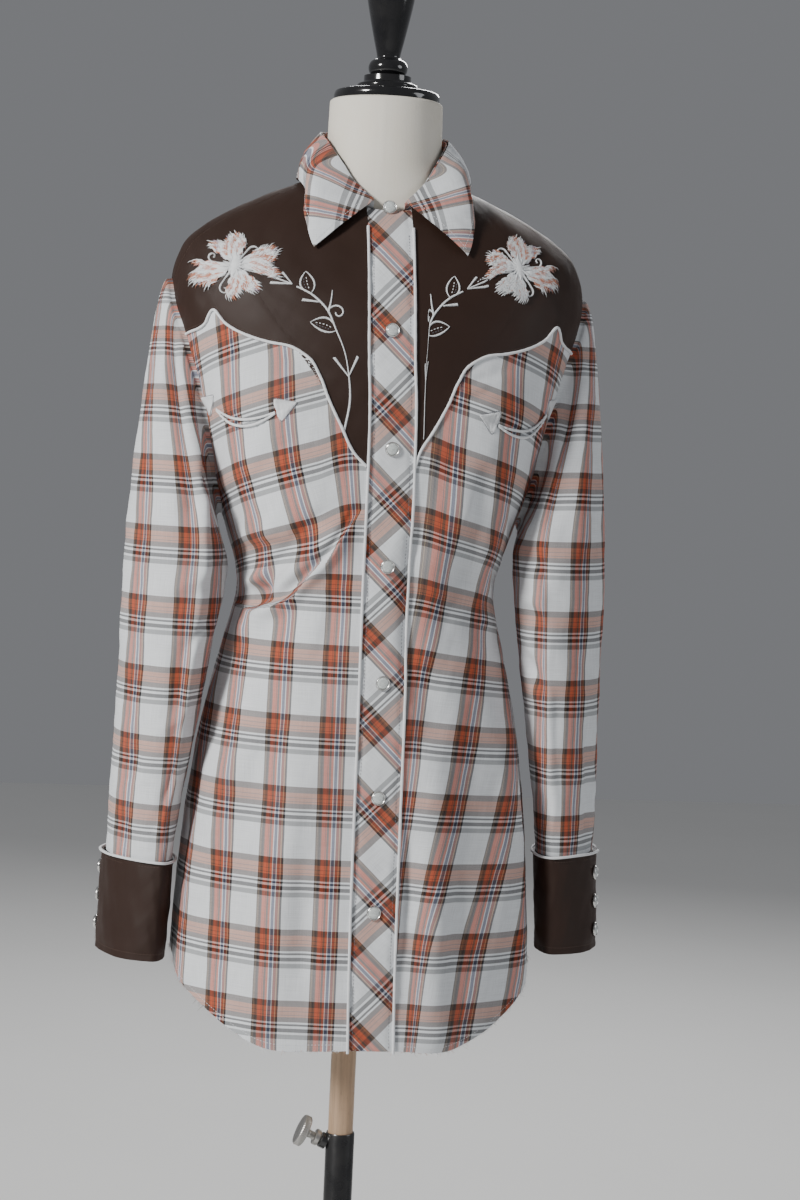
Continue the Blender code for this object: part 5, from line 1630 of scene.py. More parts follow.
def make_pockets():
    trim = bpy.context.scene.shirt_trim
    for side, word in SIDES:
        for offset, level in ((0.0, "upper"), (LIP_SPACE, "lower")):
            angle, height = lip_curve(side, offset, 90)
            lift = CLOTH + 0.0012 + 0.0007 * np.sin(math.pi * np.linspace(0, 1, 90))
            points = torso(angle, height, lift)[4:-4]
            radius = trim.lip_radius * (0.75 + 0.25 * np.sin(math.pi * np.linspace(0.06, 0.94, len(points))))
            made = cord(f"pocket_lip_{level}_{word}_cord", points, torso_normal(angle, height)[4:-4],
                        radius, finish("piping"), flatten=0.8)
            stand_in(made, f"pocket_lip_{level}_{word}")
        for end in ("inner", "outer"):
            make_arrow(side, word, end)


def make_arrow(side, word, end):
    along = np.linspace(0.02, 1.0, 26)[:, None]
    beside = np.linspace(-1, 1, 13)[None, :] * arrow_half_width(along)
    end_fade = np.clip(np.minimum(along / 0.08, (1.02 - along) / 0.1), 0, 1)
    dome = (1 - np.linspace(-1, 1, 13)[None, :] ** 4) * end_fade
    low, _, _, _ = arrow_points(side, end, along, beside, CLOTH + 0.0001)
    high, _, _, _ = arrow_points(side, end, along, beside, CLOTH + 0.0004 + 0.0009 * dome)
    flat = np.stack(np.broadcast_arrays(along * 0.019, beside * 0.02), -1)
    flip = (end == "inner") == (side > 0)
    pad = shell(f"pocket_arrow_{end}_{word}_pad", low, high, flat, finish("piping"), flip=flip)
    stand_in(pad, f"pocket_arrow_{end}_{word}")
    count = 40
    place = np.linspace(0.05, 0.97, count)
    half = arrow_half_width(place) * 1.04
    centre, out, ahead, up = arrow_points(side, end, place, 0 * place, CLOTH + 0.0012)
    width = bpy.context.scene.shirt_trim.arrow_width
    slant = ahead * 0.0012
    halves = (up[None] * (half * width)[:, None]) + slant
    halves -= out * (halves * out).sum(-1, keepdims=True)
    group = (centre, halves, out, 0.00028, 0.0003, 0)
    # A ring of grey thread round the tab's edge: painted shade where the raised tab meets the cloth.
    edge = np.concatenate([arrow_half_width(place), -arrow_half_width(place)[::-1]]) * 1.12
    places = np.concatenate([place, place[::-1]])
    border, border_out, _, _ = arrow_points(side, end, places, edge, CLOTH + 0.0001)
    painted_shade_outline = stitches_on_points(border, border_out, 0.0020, 0.0002, 0.00032, 1)
    threads = [finish("white_thread"), finish("grey_thread")]
    add_threads(f"pocket_arrow_{end}_{word}_satin", [group, painted_shade_outline], threads)


def snap_mesh(name, seat, facing):
    """A pearl cap in a rolled metal ring, turned about its own facing."""
    trim = bpy.context.scene.shirt_trim
    facing = unit(np.array(facing, float))
    beside = unit(np.cross(facing, np.array([0.0, 0.0, 1.0])))
    upright = np.cross(beside, facing)
    ring = ((0.74, 0.05), (0.95, 0.0), (1.0, 0.22), (0.99, 0.50), (0.94, 0.72), (0.87, 0.82),
            (0.80, 0.74), (0.77, 0.56))
    cap = (
        (0.775, 0.30), (0.775, 0.62), (0.70, 0.76), (0.55, 0.88),
        (0.35, 0.96), (0.15, 0.995), (0.004, 1.0),
    )
    sides, points, faces, looks = 48, [], [], []
    for profile, look, closed in ((ring, 1, True), (cap, 0, False)):
        start = len(points)
        for radius, rise in profile:
            for k in range(sides):
                turn = TWO_PI * k / sides
                flat = math.cos(turn) * beside + math.sin(turn) * upright
                points.append(seat + trim.snap_radius * radius * flat + facing * SNAP_RISE * rise)
        rows = len(profile)
        for j in range(rows if closed else rows - 1):
            for k in range(sides):
                a, b = j * sides + k, j * sides + (k + 1) % sides
                c, d = (b + sides) % (rows * sides), (a + sides) % (rows * sides)
                faces.append(tuple(start + n for n in (a, d, c, b)))
                looks.append(look)
        if not closed:
            faces.append(tuple(start + k for k in range(sides)))
            faces.append(tuple(start + (rows - 1) * sides + k for k in range(sides))[::-1])
            looks += [look, look]
    made = add_mesh(name, points, faces, finish("pearl"), sharp=60)
    made.data.materials.append(finish("snap_ring"))
    made.data.polygons.foreach_set("material_index", np.array(looks, dtype=np.int32))
    return made


def make_snaps():
    for number, height in enumerate(SNAP_HEIGHTS, 1):
        ring = float(ring_height(0.0, height))
        angle = float(placket_angle(0, ring))
        seat = torso(angle, ring, CLOTH + SNAP_SEAT + 0.0004)
        stand_in(snap_mesh(f"snap_{number}_cap", seat, torso_normal(angle, ring)), f"snap_{number}")
    seat = torso(0.0, NECK, CLOTH) - np.array([0, COLLAR_SNAP_OUT, 0])
    seat[2] = COLLAR_SNAP_HEIGHT
    stand_in(snap_mesh("snap_collar_cap", seat, COLLAR_SNAP_FACING), "snap_collar")
    for side, word in SIDES:
        place = np.array([LAP_START[side] + CUFF_TURN * 21 / 22])
        facing = cuff_out(place, side)[0]
        for k in range(CUFF_SNAPS):
            height = WRIST - CUFF_HEIGHT / 2 + (1 - k) * CUFF_SNAP_SPACE
            at = cuff_path(height, place, side)[0] + facing * (CUFF_LAP + CUFF_WALL + SNAP_SEAT)
            stand_in(snap_mesh(f"cuff_snap_{word}_{k + 1}_cap", at, facing), f"cuff_snap_{word}_{k + 1}")


def make_stitching():
    """Machine stitches beside the placket's piping, the yokes' edges and the front hem."""
    hem = float(smooth_read(HEM, 1, 8))
    groups = []
    for side in (-1, 1):
        heights = np.linspace(hem + 0.002, NECK - 0.014, 500)
        angle = placket_angle(side, heights, HALF_PLACKET - 0.0042)
        groups.append(stitch_line(angle, heights, CLOTH + 0.0005, 0.0023, 0.0009, 0.00024))
    add_threads("placket_stitching", groups, [finish("grey_thread")])
    groups = []
    for side in (-1, 1):
        line = front_yoke_edge(side, 300)[3:-3]
        groups.append(stitch_line(line[:, 0], line[:, 1] + 0.0034, CLOTH + 0.0001, 0.0022, 0.0008, 0.0002))
    line = back_yoke_edge(320)[4:-4]
    groups.append(stitch_line(line[:, 0], line[:, 1] + 0.0034, CLOTH + 0.0001, 0.0022, 0.0008, 0.0002))
    for side in (-1, 1):
        seam = to_side(shoulder_line(120)[:-16], side)
        angle, height = seam[:, 0] - side * 1.2, seam[:, 1]
        groups.append(stitch_line(angle, height, CLOTH + 0.0001, 0.0022, 0.0008, 0.0002))
    add_threads("yoke_stitching", groups, [finish("brown_thread")])
    groups = []
    for side in (-1, 1):
        start = float(placket_angle(side, hem))
        line = hem_line(start, side * SIDE_SEAM_HEM_ANGLE, 300)[3:-3]
        groups.append(stitch_line(line[:, 0], line[:, 1] + 0.0055, CLOTH + 0.0001, 0.0021, 0.0010, 0.0002))
    line = hem_line(SIDE_SEAM_HEM_ANGLE, 360 - SIDE_SEAM_HEM_ANGLE, 500)
    groups.append(stitch_line(line[:, 0], line[:, 1] + 0.0055, CLOTH + 0.0001, 0.0021, 0.0010, 0.0002))
    add_threads("hem_stitching", groups, [finish("white_thread")])


def make_fray():
    """Loose warp ends along the raw hem, each a thin bent hair of thread."""
    look = bpy.context.scene.shirt_cloth
    random = np.random.default_rng(11)
    count = look.fray_threads
    angle = random.uniform(-180, 180, count)
    height = smooth_read(HEM, 1, np.abs(angle))
    root = torso(angle, height + 0.0006, CLOTH * 0.7)
    out = torso_normal(angle, height)
    length = 0.0016 + 0.0036 * random.random(count) ** 2.5
    way = np.array([0, 0, -1.0]) + 0.65 * random.normal(size=(count, 3)) * np.array([1, 1, 0.5])
    way = unit(way) * length[:, None]
    bend = random.normal(size=(count, 3)) * length[:, None] * 0.35
    points, faces = [], []
    rings, sides, radius = 4, 3, 0.00017
    beside = unit(np.cross(way, out + 0.01))
    upright = unit(np.cross(beside, way))
    for s in np.linspace(0, 1, rings):
        middle = root + way * s + bend * s * s
        thin = radius * (1 - 0.55 * s)
        for k in range(sides):
            turn = TWO_PI * k / sides
            points.append(middle + thin * (math.cos(turn) * beside + math.sin(turn) * upright))
    grid = np.stack(points, 1)
    for c in range(count):
        start = c * rings * sides
        for j in range(rings - 1):
            for k in range(sides):
                a, b = start + j * sides + k, start + j * sides + (k + 1) % sides
                faces.append((a, b, b + sides, a + sides))
        faces.append(tuple(start + k for k in range(sides))[::-1])
        faces.append(tuple(start + (rings - 1) * sides + k for k in range(sides)))
    made = add_mesh("hem_fray", grid, faces, finish("white_thread"))
    for extra in ("salmon_thread", "brown_thread"):
        made.data.materials.append(finish(extra))
    picks = random.choice(3, size=count, p=(0.8, 0.14, 0.06))
    looks = np.repeat(picks, (rings - 1) * sides + 2)
    made.data.polygons.foreach_set("material_index", looks.astype(np.int32))
    add_trim(made)


# Embroidery: an own design of a starburst, four toothed wings, tendrils, leaves and a vine

STARBURST = (-0.1380, 1.3250)
# The left side's work mirrors the right's, moved over: distance out, sideways, upward.
LEFT_PLACES = (0.028, 0.038, 0.052, 0.083, 0.104, 0.118)
LEFT_SHIFT = (0.003, -0.006, -0.018, -0.020, -0.019, -0.020)
LEFT_LIFT = (-0.004, -0.002, 0.001, 0.003, 0.006, 0.0105)


class Stitcher:
    """Collects satin and running stitches drawn on the front, in metres seen from the front."""

    def __init__(self, side):
        self.side = side
        self.groups = []

    def lay(self, x, z):
        """Places and outward directions on the cloth; the left side's work sits nearer the placket."""
        if self.side < 0:
            x, z = x - np.interp(-x, LEFT_PLACES, LEFT_SHIFT), z + np.interp(-x, LEFT_PLACES, LEFT_LIFT)
        angle, height = on_front(x * self.side, z)
        return torso(angle, height, CLOTH + 0.0002), torso_normal(angle, height)

    def satin(self, near, far, colour, raised=0.0008, width=0.00030):
        """Threads laid side by side between two edges."""
        near, far = np.asarray(near, float), np.asarray(far, float)
        a, out = self.lay(near[:, 0], near[:, 1])
        b, _ = self.lay(far[:, 0], far[:, 1])
        self.groups.append(((a + b) / 2, (b - a) / 2, out, width, raised, colour))

    def strip(self, line, half_width, colour, pitch=0.00052, slant=0.35, raised=0.0007, jagged=0.0):
        """A satin band along a line; half_width is one number or one for each point."""
        line = np.asarray(line, float)
        steps = np.linalg.norm(np.diff(line, axis=0), axis=1)
        walked = np.concatenate([[0], np.cumsum(steps)])
        place = np.arange(0, walked[-1], pitch)
        half = np.interp(place, walked, np.broadcast_to(half_width, len(line)))
        number = np.arange(len(place))
        half = half * (1 + jagged * np.sin(number * 1.9) * np.sin(number * 0.73))
        middle = np.stack([np.interp(place, walked, line[:, k]) for k in (0, 1)], -1)
        ahead = np.gradient(middle, axis=0)
        ahead /= np.linalg.norm(ahead, axis=1, keepdims=True) + 1e-12
        beside = np.stack([-ahead[:, 1], ahead[:, 0]], -1)
        reach = (beside + ahead * slant) * half[:, None]
        keep = half > 0.00012
        self.satin((middle - reach)[keep], (middle + reach)[keep], colour, raised)

    def running(self, line, stitch, gap, colour, width=0.00032):
        line = np.asarray(line, float)
        points, out = self.lay(line[:, 0], line[:, 1])
        self.groups.append(stitches_on_points(points, out, stitch, gap, width, colour))


def curve_through(points, count=60):
    """A smooth line through a few points."""
    points = np.array(points, float)
    steps = np.concatenate([[0], np.cumsum(np.linalg.norm(np.diff(points, axis=0), axis=1))])
    table = np.column_stack([steps, points])
    fine = np.linspace(0, steps[-1], count)
    return np.stack([smooth_read(table, k, fine) for k in (1, 2)], -1)


def curl(start, turn, radius, turns, tightening=0.75, count=60):
    """A spiral tendril: start point, first heading in degrees, radius and number of turns."""
    s = np.linspace(0, 1, count)
    heading = np.radians(turn) + TWO_PI * turns * (s + tightening * s**2) / (1 + tightening)
    step = abs(radius) * TWO_PI * abs(turns) / count * (1.15 - 0.5 * s)
    x = start[0] + np.concatenate([[0], np.cumsum(np.cos(heading[:-1]) * step[:-1])])
    z = start[1] + np.concatenate([[0], np.cumsum(np.sin(heading[:-1]) * step[:-1])])
    return np.stack([x, z], -1)


# Wings round the star: heading and half spread in degrees, length, and how its edge waves.
WINGS = (
    (104, 40, 0.0300, 0.2),
    (10, 27, 0.0400, 1.4),
    (-72, 36, 0.0300, 0.8),
    (-163, 25, 0.0400, 2.1),
)
PLAIN_WING = {-1: None, 1: 2}


def sew_wing(s, heading, spread, length, wave, plain):
    """A fan of ragged satin in five rows, with clumps of coloured stitches."""
    count = int(2 * math.radians(spread) * length / 0.00038)
    share = np.linspace(-1, 1, count)
    number = np.arange(count)
    turn = np.radians(heading + spread * share)
    rays = np.stack([np.cos(turn), np.sin(turn)], -1)
    lobes = 0.74 + 0.26 * np.abs(np.sin(1.5 * math.pi * (share + 1) / 2 + wave))
    ragged = 1 + 0.05 * np.sin(number * 1.3 + wave) + 0.04 * np.sin(number * 2.9)
    edge = length * lobes * ragged * np.clip(1.15 - 0.25 * share**4, 0, 1)
    centre = np.array(STARBURST)
    for row, low in enumerate((0.20, 0.36, 0.52, 0.68, 0.82)):
        high = min(low + 0.26, 1.0)
        near = centre + rays * (edge * (low + 0.04 * np.sin(number * 1.9 + row)))[:, None]
        far = centre + rays * (edge * (high + 0.05 * np.sin(number * 2.3 + 2 * row)))[:, None]
        lean = np.stack([-rays[:, 1], rays[:, 0]], -1) * (0.0013 * (1 - 2 * (row % 2)))
        choice = np.sin(number * 0.21 + 1.9 * row + 2 * wave) + 0.7 * np.sin(number * 1.1 + row)
        clump = (np.floor(number * 0.09 + row * 0.7 + wave) % 3).astype(int) + 1
        colours = np.where((choice > 0.35) & (row > 0), clump, 0)
        if plain:
            colours = colours * (number % 9 == 0)
        for colour in (0, 1, 2, 3):
            kept = colours == colour
            if kept.any():
                s.satin((near - lean)[kept], (far + lean)[kept], colour, 0.0010 + 0.0002 * row, 0.00038)


def sew_leaf(s, base, tip, half, inner=True, solid=False, bend=0.12):
    """An almond leaf: two outline bands with stitches inside, or filled with satin."""
    base, tip = np.array(base, float), np.array(tip, float)
    axis = tip - base
    beside = np.array([-axis[1], axis[0]]) / np.linalg.norm(axis)
    share = np.linspace(0, 1, 40)
    sideways = (bend * np.linalg.norm(axis) * np.sin(math.pi * share))[:, None]
    middle = base + axis * share[:, None] + beside * sideways
    wide = half * np.sin(math.pi * share**0.85) ** 0.85
    if solid:
        fine = np.linspace(0, 1, int(np.linalg.norm(axis) / 0.00044))
        mid = np.stack([np.interp(fine, share, middle[:, k]) for k in (0, 1)], -1)
        reach = np.interp(fine, share, wide)[:, None]
        slant = beside + 0.5 * axis / np.linalg.norm(axis)
        s.satin(mid - slant * reach, mid, 0)
        s.satin(mid + slant * reach, mid, 0)
        return
    for sign in (-1, 1):
        s.strip(middle + beside * (sign * wide)[:, None], 0.0010 * np.sin(math.pi * (0.12 + 0.76 * share)), 0)
    if inner:
        s.running(middle[6:-6], 0.0020, 0.0012, 0, 0.0004)
        s.running((middle + beside * (0.45 * wide)[:, None])[8:-8], 0.0016, 0.0011, 4, 0.0003)


VINE = (
    (-0.0842, 1.3076), (-0.0720, 1.3020), (-0.0570, 1.2880), (-0.0490, 1.2710),
    (-0.0405, 1.2510), (-0.0365, 1.2318), (-0.0345, 1.2110), (-0.0385, 1.1800),
)


def embroider(side):
    """One front yoke's embroidery."""
    s = Stitcher(-side)
    cx, cz = STARBURST
    for number, wing in enumerate(WINGS):
        heading, spread, length, wave = wing
        if number == 1 and side > 0:
            length = 0.0330
        sew_wing(s, heading, spread, length, wave, PLAIN_WING[side] == number)
    # The star: an oval knot with short rays.
    down = np.linspace(-1, 1, 44)
    reach = np.stack([0.0062 * np.sqrt(1 - 0.98 * down**2), 0.25 * 0.0062 * np.sqrt(1 - 0.98 * down**2)], -1)
    middle = np.array(STARBURST) + np.stack([0.0010 * down, 0.0088 * down], -1)
    s.satin(middle - reach, middle + reach, 0, 0.0019, 0.00036)
    for k in range(14):
        t = TWO_PI * (k + 0.3) / 14
        reach = 0.0135 if k % 2 else 0.0105
        ray = np.array([[cx, cz], [cx + reach * math.cos(t), cz + reach * math.sin(t)]])
        ray = np.linspace(ray[0], ray[1], 20)[6:]
        s.strip(ray, np.linspace(0.0015, 0.0003, 14), 0, slant=0.1, raised=0.0018)
    # Feelers between the wings, three with curls, one plain.
    for heading, reach, radius, turns in ((52, 0.019, 0.0034, -0.95), (172, 0.018, 0.0034, -0.95),
                                          (236, 0.021, 0.0032, 0.95)):
        t = math.radians(heading)
        end = (cx + reach * math.cos(t), cz + reach * math.sin(t))
        s.strip(np.linspace((cx, cz), end, 30), 0.0007, 0, raised=0.0014)
        s.strip(curl(end, heading, radius, turns), np.linspace(0.0009, 0.0005, 60), 0, raised=0.0014)
    s.strip(np.linspace((cx + 0.008, cz - 0.004), (cx + 0.030, cz - 0.0085), 30), 0.0006, 0, raised=0.0014)
    s.running(np.linspace((cx + 0.030, cz - 0.002), (cx + 0.041, cz - 0.010), 16), 0.0020, 0.0012, 0, 0.0004)
    # A fork of three strokes between the wings and the vine.
    for far, half in (((-0.0970, 1.3200), 0.0013), ((-0.1065, 1.3160), 0.0010), ((-0.1075, 1.3105), 0.0014)):
        s.strip(np.linspace((-0.0885, 1.3098), far, 24), np.linspace(0.0006, half, 24), 0)
    # The vine, its leaves, its curl and the fork near its end.
    vine = curve_through(VINE, 120)
    s.strip(vine, 0.00085 + 0.00025 * np.sin(np.linspace(0, 9, 120)), 0, jagged=0.1)
    sew_leaf(s, (-0.0720, 1.3025), (-0.0765, 1.3215), 0.0062, bend=0.06)
    s.strip(np.linspace((-0.0650, 1.2950), (-0.0795, 1.2962), 26), np.linspace(0.0007, 0.0015, 26), 0)
    thorn = curve_through(((-0.0560, 1.2870), (-0.0542, 1.2950), (-0.0530, 1.3055)), 30)
    s.strip(thorn, np.linspace(0.0011, 0.0005, 30), 0)
    s.strip(curl((-0.0555, 1.2890), 48, 0.0052, -0.92), np.linspace(0.0009, 0.0008, 60), 0)
    sew_leaf(s, (-0.0490, 1.2705), (-0.0715, 1.2765), 0.0060, bend=-0.08)
    for far in ((-0.0500, 1.2465), (-0.0290, 1.2480)):
        s.strip(np.linspace((-0.0365, 1.2300), far, 30), np.linspace(0.0006, 0.0014, 30), 0)
    colours = ("white", "salmon", "mauve", "orange", "grey")
    threads = [finish(f"{colour}_thread") for colour in colours]
    word = "right" if side < 0 else "left"
    add_threads(f"embroidery_{word}", s.groups, threads)


# The form and its stand


def form_surface(turns, height):
    side, front, back = (smooth_read(FORM_INSET, k, height) for k in (1, 2, 3))
    facing = np.cos(np.radians(turns))
    inset = side + (np.where(facing > 0, front, back) - side) * facing**2
    base = torso_base(turns, height)
    bust = fold_rise(turns, height, [row[:5] + (row[5] - 0.001,) for row in FOLDS[:BUST_FOLDS]])
    return base + torso_normal(turns, height) * (bust - inset)[..., None]


def make_form():
    sides = 128
    turns = 360 * np.arange(sides) / sides
    rings = []
    for height in np.concatenate([np.linspace(0.672, 0.70, 8), np.linspace(0.71, NECK, 90)]):
        ring = form_surface(turns, np.full(sides, height))
        if height <= 0.672:
            ring[:, 2] = height
        rings.append(ring)
    neck = np.array(FORM_NECK)
    for height in np.linspace(FORM_NECK[0][0], FORM_NECK[-1][0], 26):
        radius = smooth_read(neck, 1, np.full(sides, height))
        seam = 0.00035 * np.exp(-((turned_from(turns, -8) / 1.3) ** 2))
        rings.append(ring_point(turns, np.full(sides, height), radius + seam))
    for t in np.linspace(0.15, 1, 7) * math.pi / 2:
        radius = FORM_NECK[-1][1] - RIM_ROUND * (1 - math.cos(t))
        level = np.full(sides, RIM - RIM_ROUND * (1 - math.sin(t)))
        rings.append(ring_point(turns, level, np.full(sides, radius)))
    for radius in (0.040, 0.020, 0.004):
        rings.append(ring_point(turns, np.full(sides, RIM), np.full(sides, radius)))
    socket = POLE_RADIUS + SEAM
    start = [
        ring_point(turns, np.full(sides, 0.672), np.full(sides, radius))
        for radius in (0.08, 0.03, socket)
    ]
    start += [ring_point(turns, np.full(sides, POLE_TOP + SEAM), np.full(sides, r)) for r in (socket, 0.003)]
    grid = np.stack(start[::-1] + rings)
    rows = len(grid)
    faces = []
    for j in range(rows - 1):
        for k in range(sides):
            a, b = j * sides + k, j * sides + (k + 1) % sides
            faces.append((a, b, b + sides, a + sides))
    faces.append(tuple(range(sides))[::-1])
    faces.append(tuple((rows - 1) * sides + k for k in range(sides)))
    made = add_mesh("form_shell", grid, faces, finish("canvas"), sharp=50)
    stand_in(made, "form_torso")


def make_cap():
    for name, profile, sharp in (("neck_cap", CAP_PROFILE, 40), ("finial", FINIAL_PROFILE, 60)):
        raised = [(r, RIM + z) for r, z in profile]
        if name == "finial":
            table = np.column_stack([[k for k in range(len(raised))], raised])
            fine = np.linspace(0, len(raised) - 1, 90)
            raised = [(float(smooth_read(table, 1, t)), float(smooth_read(table, 2, t))) for t in fine]
            raised.append((0.0035, RIM + 0.1455))
        else:
            raised = rounded_profile(raised, 5, 0.3)
        made = lathe(f"{name}_turned", raised, finish("lacquer"), 96, sharp=sharp)
        stand_in(made, name)


def make_stand():
    base = [
        (0.0140, 0.0117), (0.0140, HUB_TOP - 0.0008), (0.0148, HUB_TOP),
        (HUB_RADIUS - 0.0015, HUB_TOP), (HUB_RADIUS, HUB_TOP - 0.0015), (HUB_RADIUS, 0.035),
        (HUB_RADIUS + 0.001, 0.029), (HUB_RADIUS + 0.004, BASE_EDGE + 0.014),
        (HUB_RADIUS + 0.012, BASE_EDGE + 0.0095), (HUB_RADIUS + 0.03, BASE_EDGE + 0.006),
        (BASE_RADIUS - 0.006, BASE_EDGE), (BASE_RADIUS - 0.002, BASE_EDGE - 0.0008),
        (BASE_RADIUS, BASE_EDGE * 0.7), (BASE_RADIUS, 0.0012), (BASE_RADIUS - 0.0012, 0.0),
    ][::-1]
    stand_in(lathe("base_turned", base, finish("black_steel"), 160, sharp=35), "base_plate", "stand")
    tube = [
        (0.004, TUBE_SEAT), (TUBE_RADIUS, TUBE_SEAT), (TUBE_RADIUS, TUBE_TOP - 0.0012),
        (TUBE_RADIUS - 0.0006, TUBE_TOP), (TUBE_BORE, TUBE_TOP), (TUBE_BORE, TUBE_SEAT + 0.004),
        (0.002, TUBE_SEAT + 0.004),
    ]
    stand_in(lathe("tube_steel", tube, finish("black_steel"), 96, sharp=35), "tube", "stand")
    pole = [(POLE_RADIUS - 0.0012, POLE_BOTTOM), (POLE_RADIUS, POLE_BOTTOM + 0.0012)]
    pole += [(POLE_RADIUS - 0.00008 * (k % 2), POLE_BOTTOM + 0.02 + k * 0.020) for k in range(24)]
    pole += [(POLE_RADIUS, POLE_TOP - 0.0012), (POLE_RADIUS - 0.0012, POLE_TOP)]
    stand_in(lathe("pole_turned", pole, finish("beech"), 72, sharp=35), "wood_pole", "pole")

    middle = np.array([0, 0, SCREW_HEIGHT])
    way = np.array([-math.cos(SCREW_TILT), 0, math.sin(SCREW_TILT)])
    lean = 1 / math.cos(SCREW_TILT)
    bore = SCREW_RADIUS + 0.0004
    boss = [
        (bore, TUBE_RADIUS * lean + 0.003), (BOSS_RADIUS - 0.001, TUBE_RADIUS * lean + 0.003),
        (BOSS_RADIUS, TUBE_RADIUS * lean - 0.0005), (BOSS_RADIUS, BOSS_OUT - 0.001),
        (BOSS_RADIUS - 0.001, BOSS_OUT), (bore, BOSS_OUT),
    ]
    turned_about(stand_name="boss_steel", profile=boss, look="black_steel", node="screw_boss",
                 body="stand", middle=middle, way=way, ring=True)
    tip = (POLE_RADIUS + SEAM) * lean + 0.0022
    nut_start = BOSS_OUT + 0.001
    nut_end = nut_start + 0.005
    knob_end = KNOB_OUT + KNOB_WALL
    screw = [
        (0.0005, tip), (SCREW_RADIUS - 0.001, tip), (SCREW_RADIUS, tip + 0.001),
        (SCREW_RADIUS, nut_start), (0.0072, nut_start), (0.0078, nut_start + 0.0006),
        (0.0078, nut_end - 0.0006), (0.0072, nut_end), (SCREW_RADIUS, nut_end),
    ]
    threads = np.arange(nut_end + 0.0006, KNOB_OUT - 0.0034, 0.0006)
    screw += [(SCREW_RADIUS - 0.0003 * (k % 2), z) for k, z in enumerate(threads)]
    screw += [
        (SCREW_RADIUS, KNOB_OUT - 0.003), (0.0060, KNOB_OUT - 0.0012), (0.0078, KNOB_OUT),
        (KNOB_RADIUS - 0.001, KNOB_OUT), (KNOB_RADIUS, KNOB_OUT + 0.001),
        (KNOB_RADIUS, knob_end - 0.001), (KNOB_RADIUS - 0.001, knob_end), (0.0005, knob_end - 0.0004),
    ]
    turned_about(stand_name="screw_steel", profile=screw, look="steel", node="clamp_screw",
                 body="clamp", middle=middle, way=way, ring=False)


def turned_about(stand_name, profile, look, node, body, middle, way, ring):
    """A turned piece about the clamp screw's slanting axis, knurled where it is widest."""
    sides = 180
    beside = np.array([0.0, 1.0, 0.0])
    upright = np.cross(way, beside)
    points, faces = [], []
    for radius, out in profile:
        for k in range(sides):
            turn = TWO_PI * k / sides
            knurl = 0.00035 * (k % 4 < 2) if radius > KNOB_RADIUS - 0.0005 else 0.0
            arm = math.cos(turn) * beside + math.sin(turn) * upright
            points.append(middle + way * out + (radius - knurl) * arm)
    rows = len(profile)
    for j in range(rows if ring else rows - 1):
        for k in range(sides):
            a, b = j * sides + k, j * sides + (k + 1) % sides
            c, d = (b + sides) % (rows * sides), (a + sides) % (rows * sides)
            faces.append((a, b, c, d))
    if not ring:
        faces.append(tuple(range(sides))[::-1])
        faces.append(tuple((rows - 1) * sides + k for k in range(sides)))
    made = add_mesh(stand_name, points, faces, finish(look), sharp=35)
    stand_in(made, node, body)


# Stage


def add_area(name, place, target, size, power, colour):
    data = bpy.data.lights.new(name, "AREA")
    data.shape, data.size = "DISK", size
    data.energy, data.color = power, colour
    made = bpy.data.objects.new(name, data)
    made.location = place
    made.rotation_euler = (Vector(target) - Vector(place)).to_track_quat("-Z", "Y").to_euler()
    bpy.context.collection.objects.link(made)


def set_stage():
    look = bpy.context.scene.shirt_stage
    floor_corners = [(-6, -6, 0), (6, -6, 0), (6, 6, 0), (-6, 6, 0)]
    floor = add_mesh("studio_floor", floor_corners, [(0, 1, 2, 3)], finish("floor"))
    world = bpy.data.worlds.new("studio_world")
    world.use_nodes = True
    background = world.node_tree.nodes["Background"]
    background.inputs["Color"].default_value = (0.93, 0.95, 1.0, 1.0)
    background.inputs["Strength"].default_value = look.fill
    bpy.context.scene.world = world
    add_area("key_light", (-2.9, -2.1, 2.7), (0, 0, 1.05), 0.9, look.key, (1.0, 0.985, 0.96))
    add_area("side_light", (2.9, -1.2, 2.0), (0, 0, 1.05), 1.6, look.key * 0.10, (0.97, 0.98, 1.0))
    add_area("back_light", (0.8, 2.8, 2.8), (0, 0, 1.05), 1.6, look.key * 0.35, (1.0, 1.0, 1.0))
    add_camera()


def add_camera():
    look = bpy.context.scene.shirt_stage
    around, pitch, roll = look.around, look.pitch, look.roll
    ahead = Vector((math.sin(around) * math.cos(pitch), math.cos(around) * math.cos(pitch), -math.sin(pitch)))
    right = ahead.cross(Vector((0, 0, 1))).normalized()
    up = right.cross(ahead)
    ahead = (ahead * math.cos(look.pan) + right * math.sin(look.pan)).normalized()
    right = ahead.cross(up).normalized()
    turned_right = right * math.cos(roll) + up * math.sin(roll)
    turned_up = up * math.cos(roll) - right * math.sin(roll)
    data = bpy.data.cameras.new("camera")
    data.sensor_fit, data.sensor_height, data.lens = "VERTICAL", 36.0, look.lens
    made = bpy.data.objects.new("camera", data)
    place = Vector((-look.distance * math.sin(around), -look.distance * math.cos(around), look.camera_height))
    columns = (turned_right, turned_up, -ahead)
    made.matrix_world = Matrix((
        (columns[0][0], columns[1][0], columns[2][0], place[0]),
        (columns[0][1], columns[1][1], columns[2][1], place[1]),
        (columns[0][2], columns[1][2], columns[2][2], place[2]),
        (0, 0, 0, 1),
    ))
    bpy.context.collection.objects.link(made)
    bpy.context.scene.camera = made


# Settings, operators and the panel


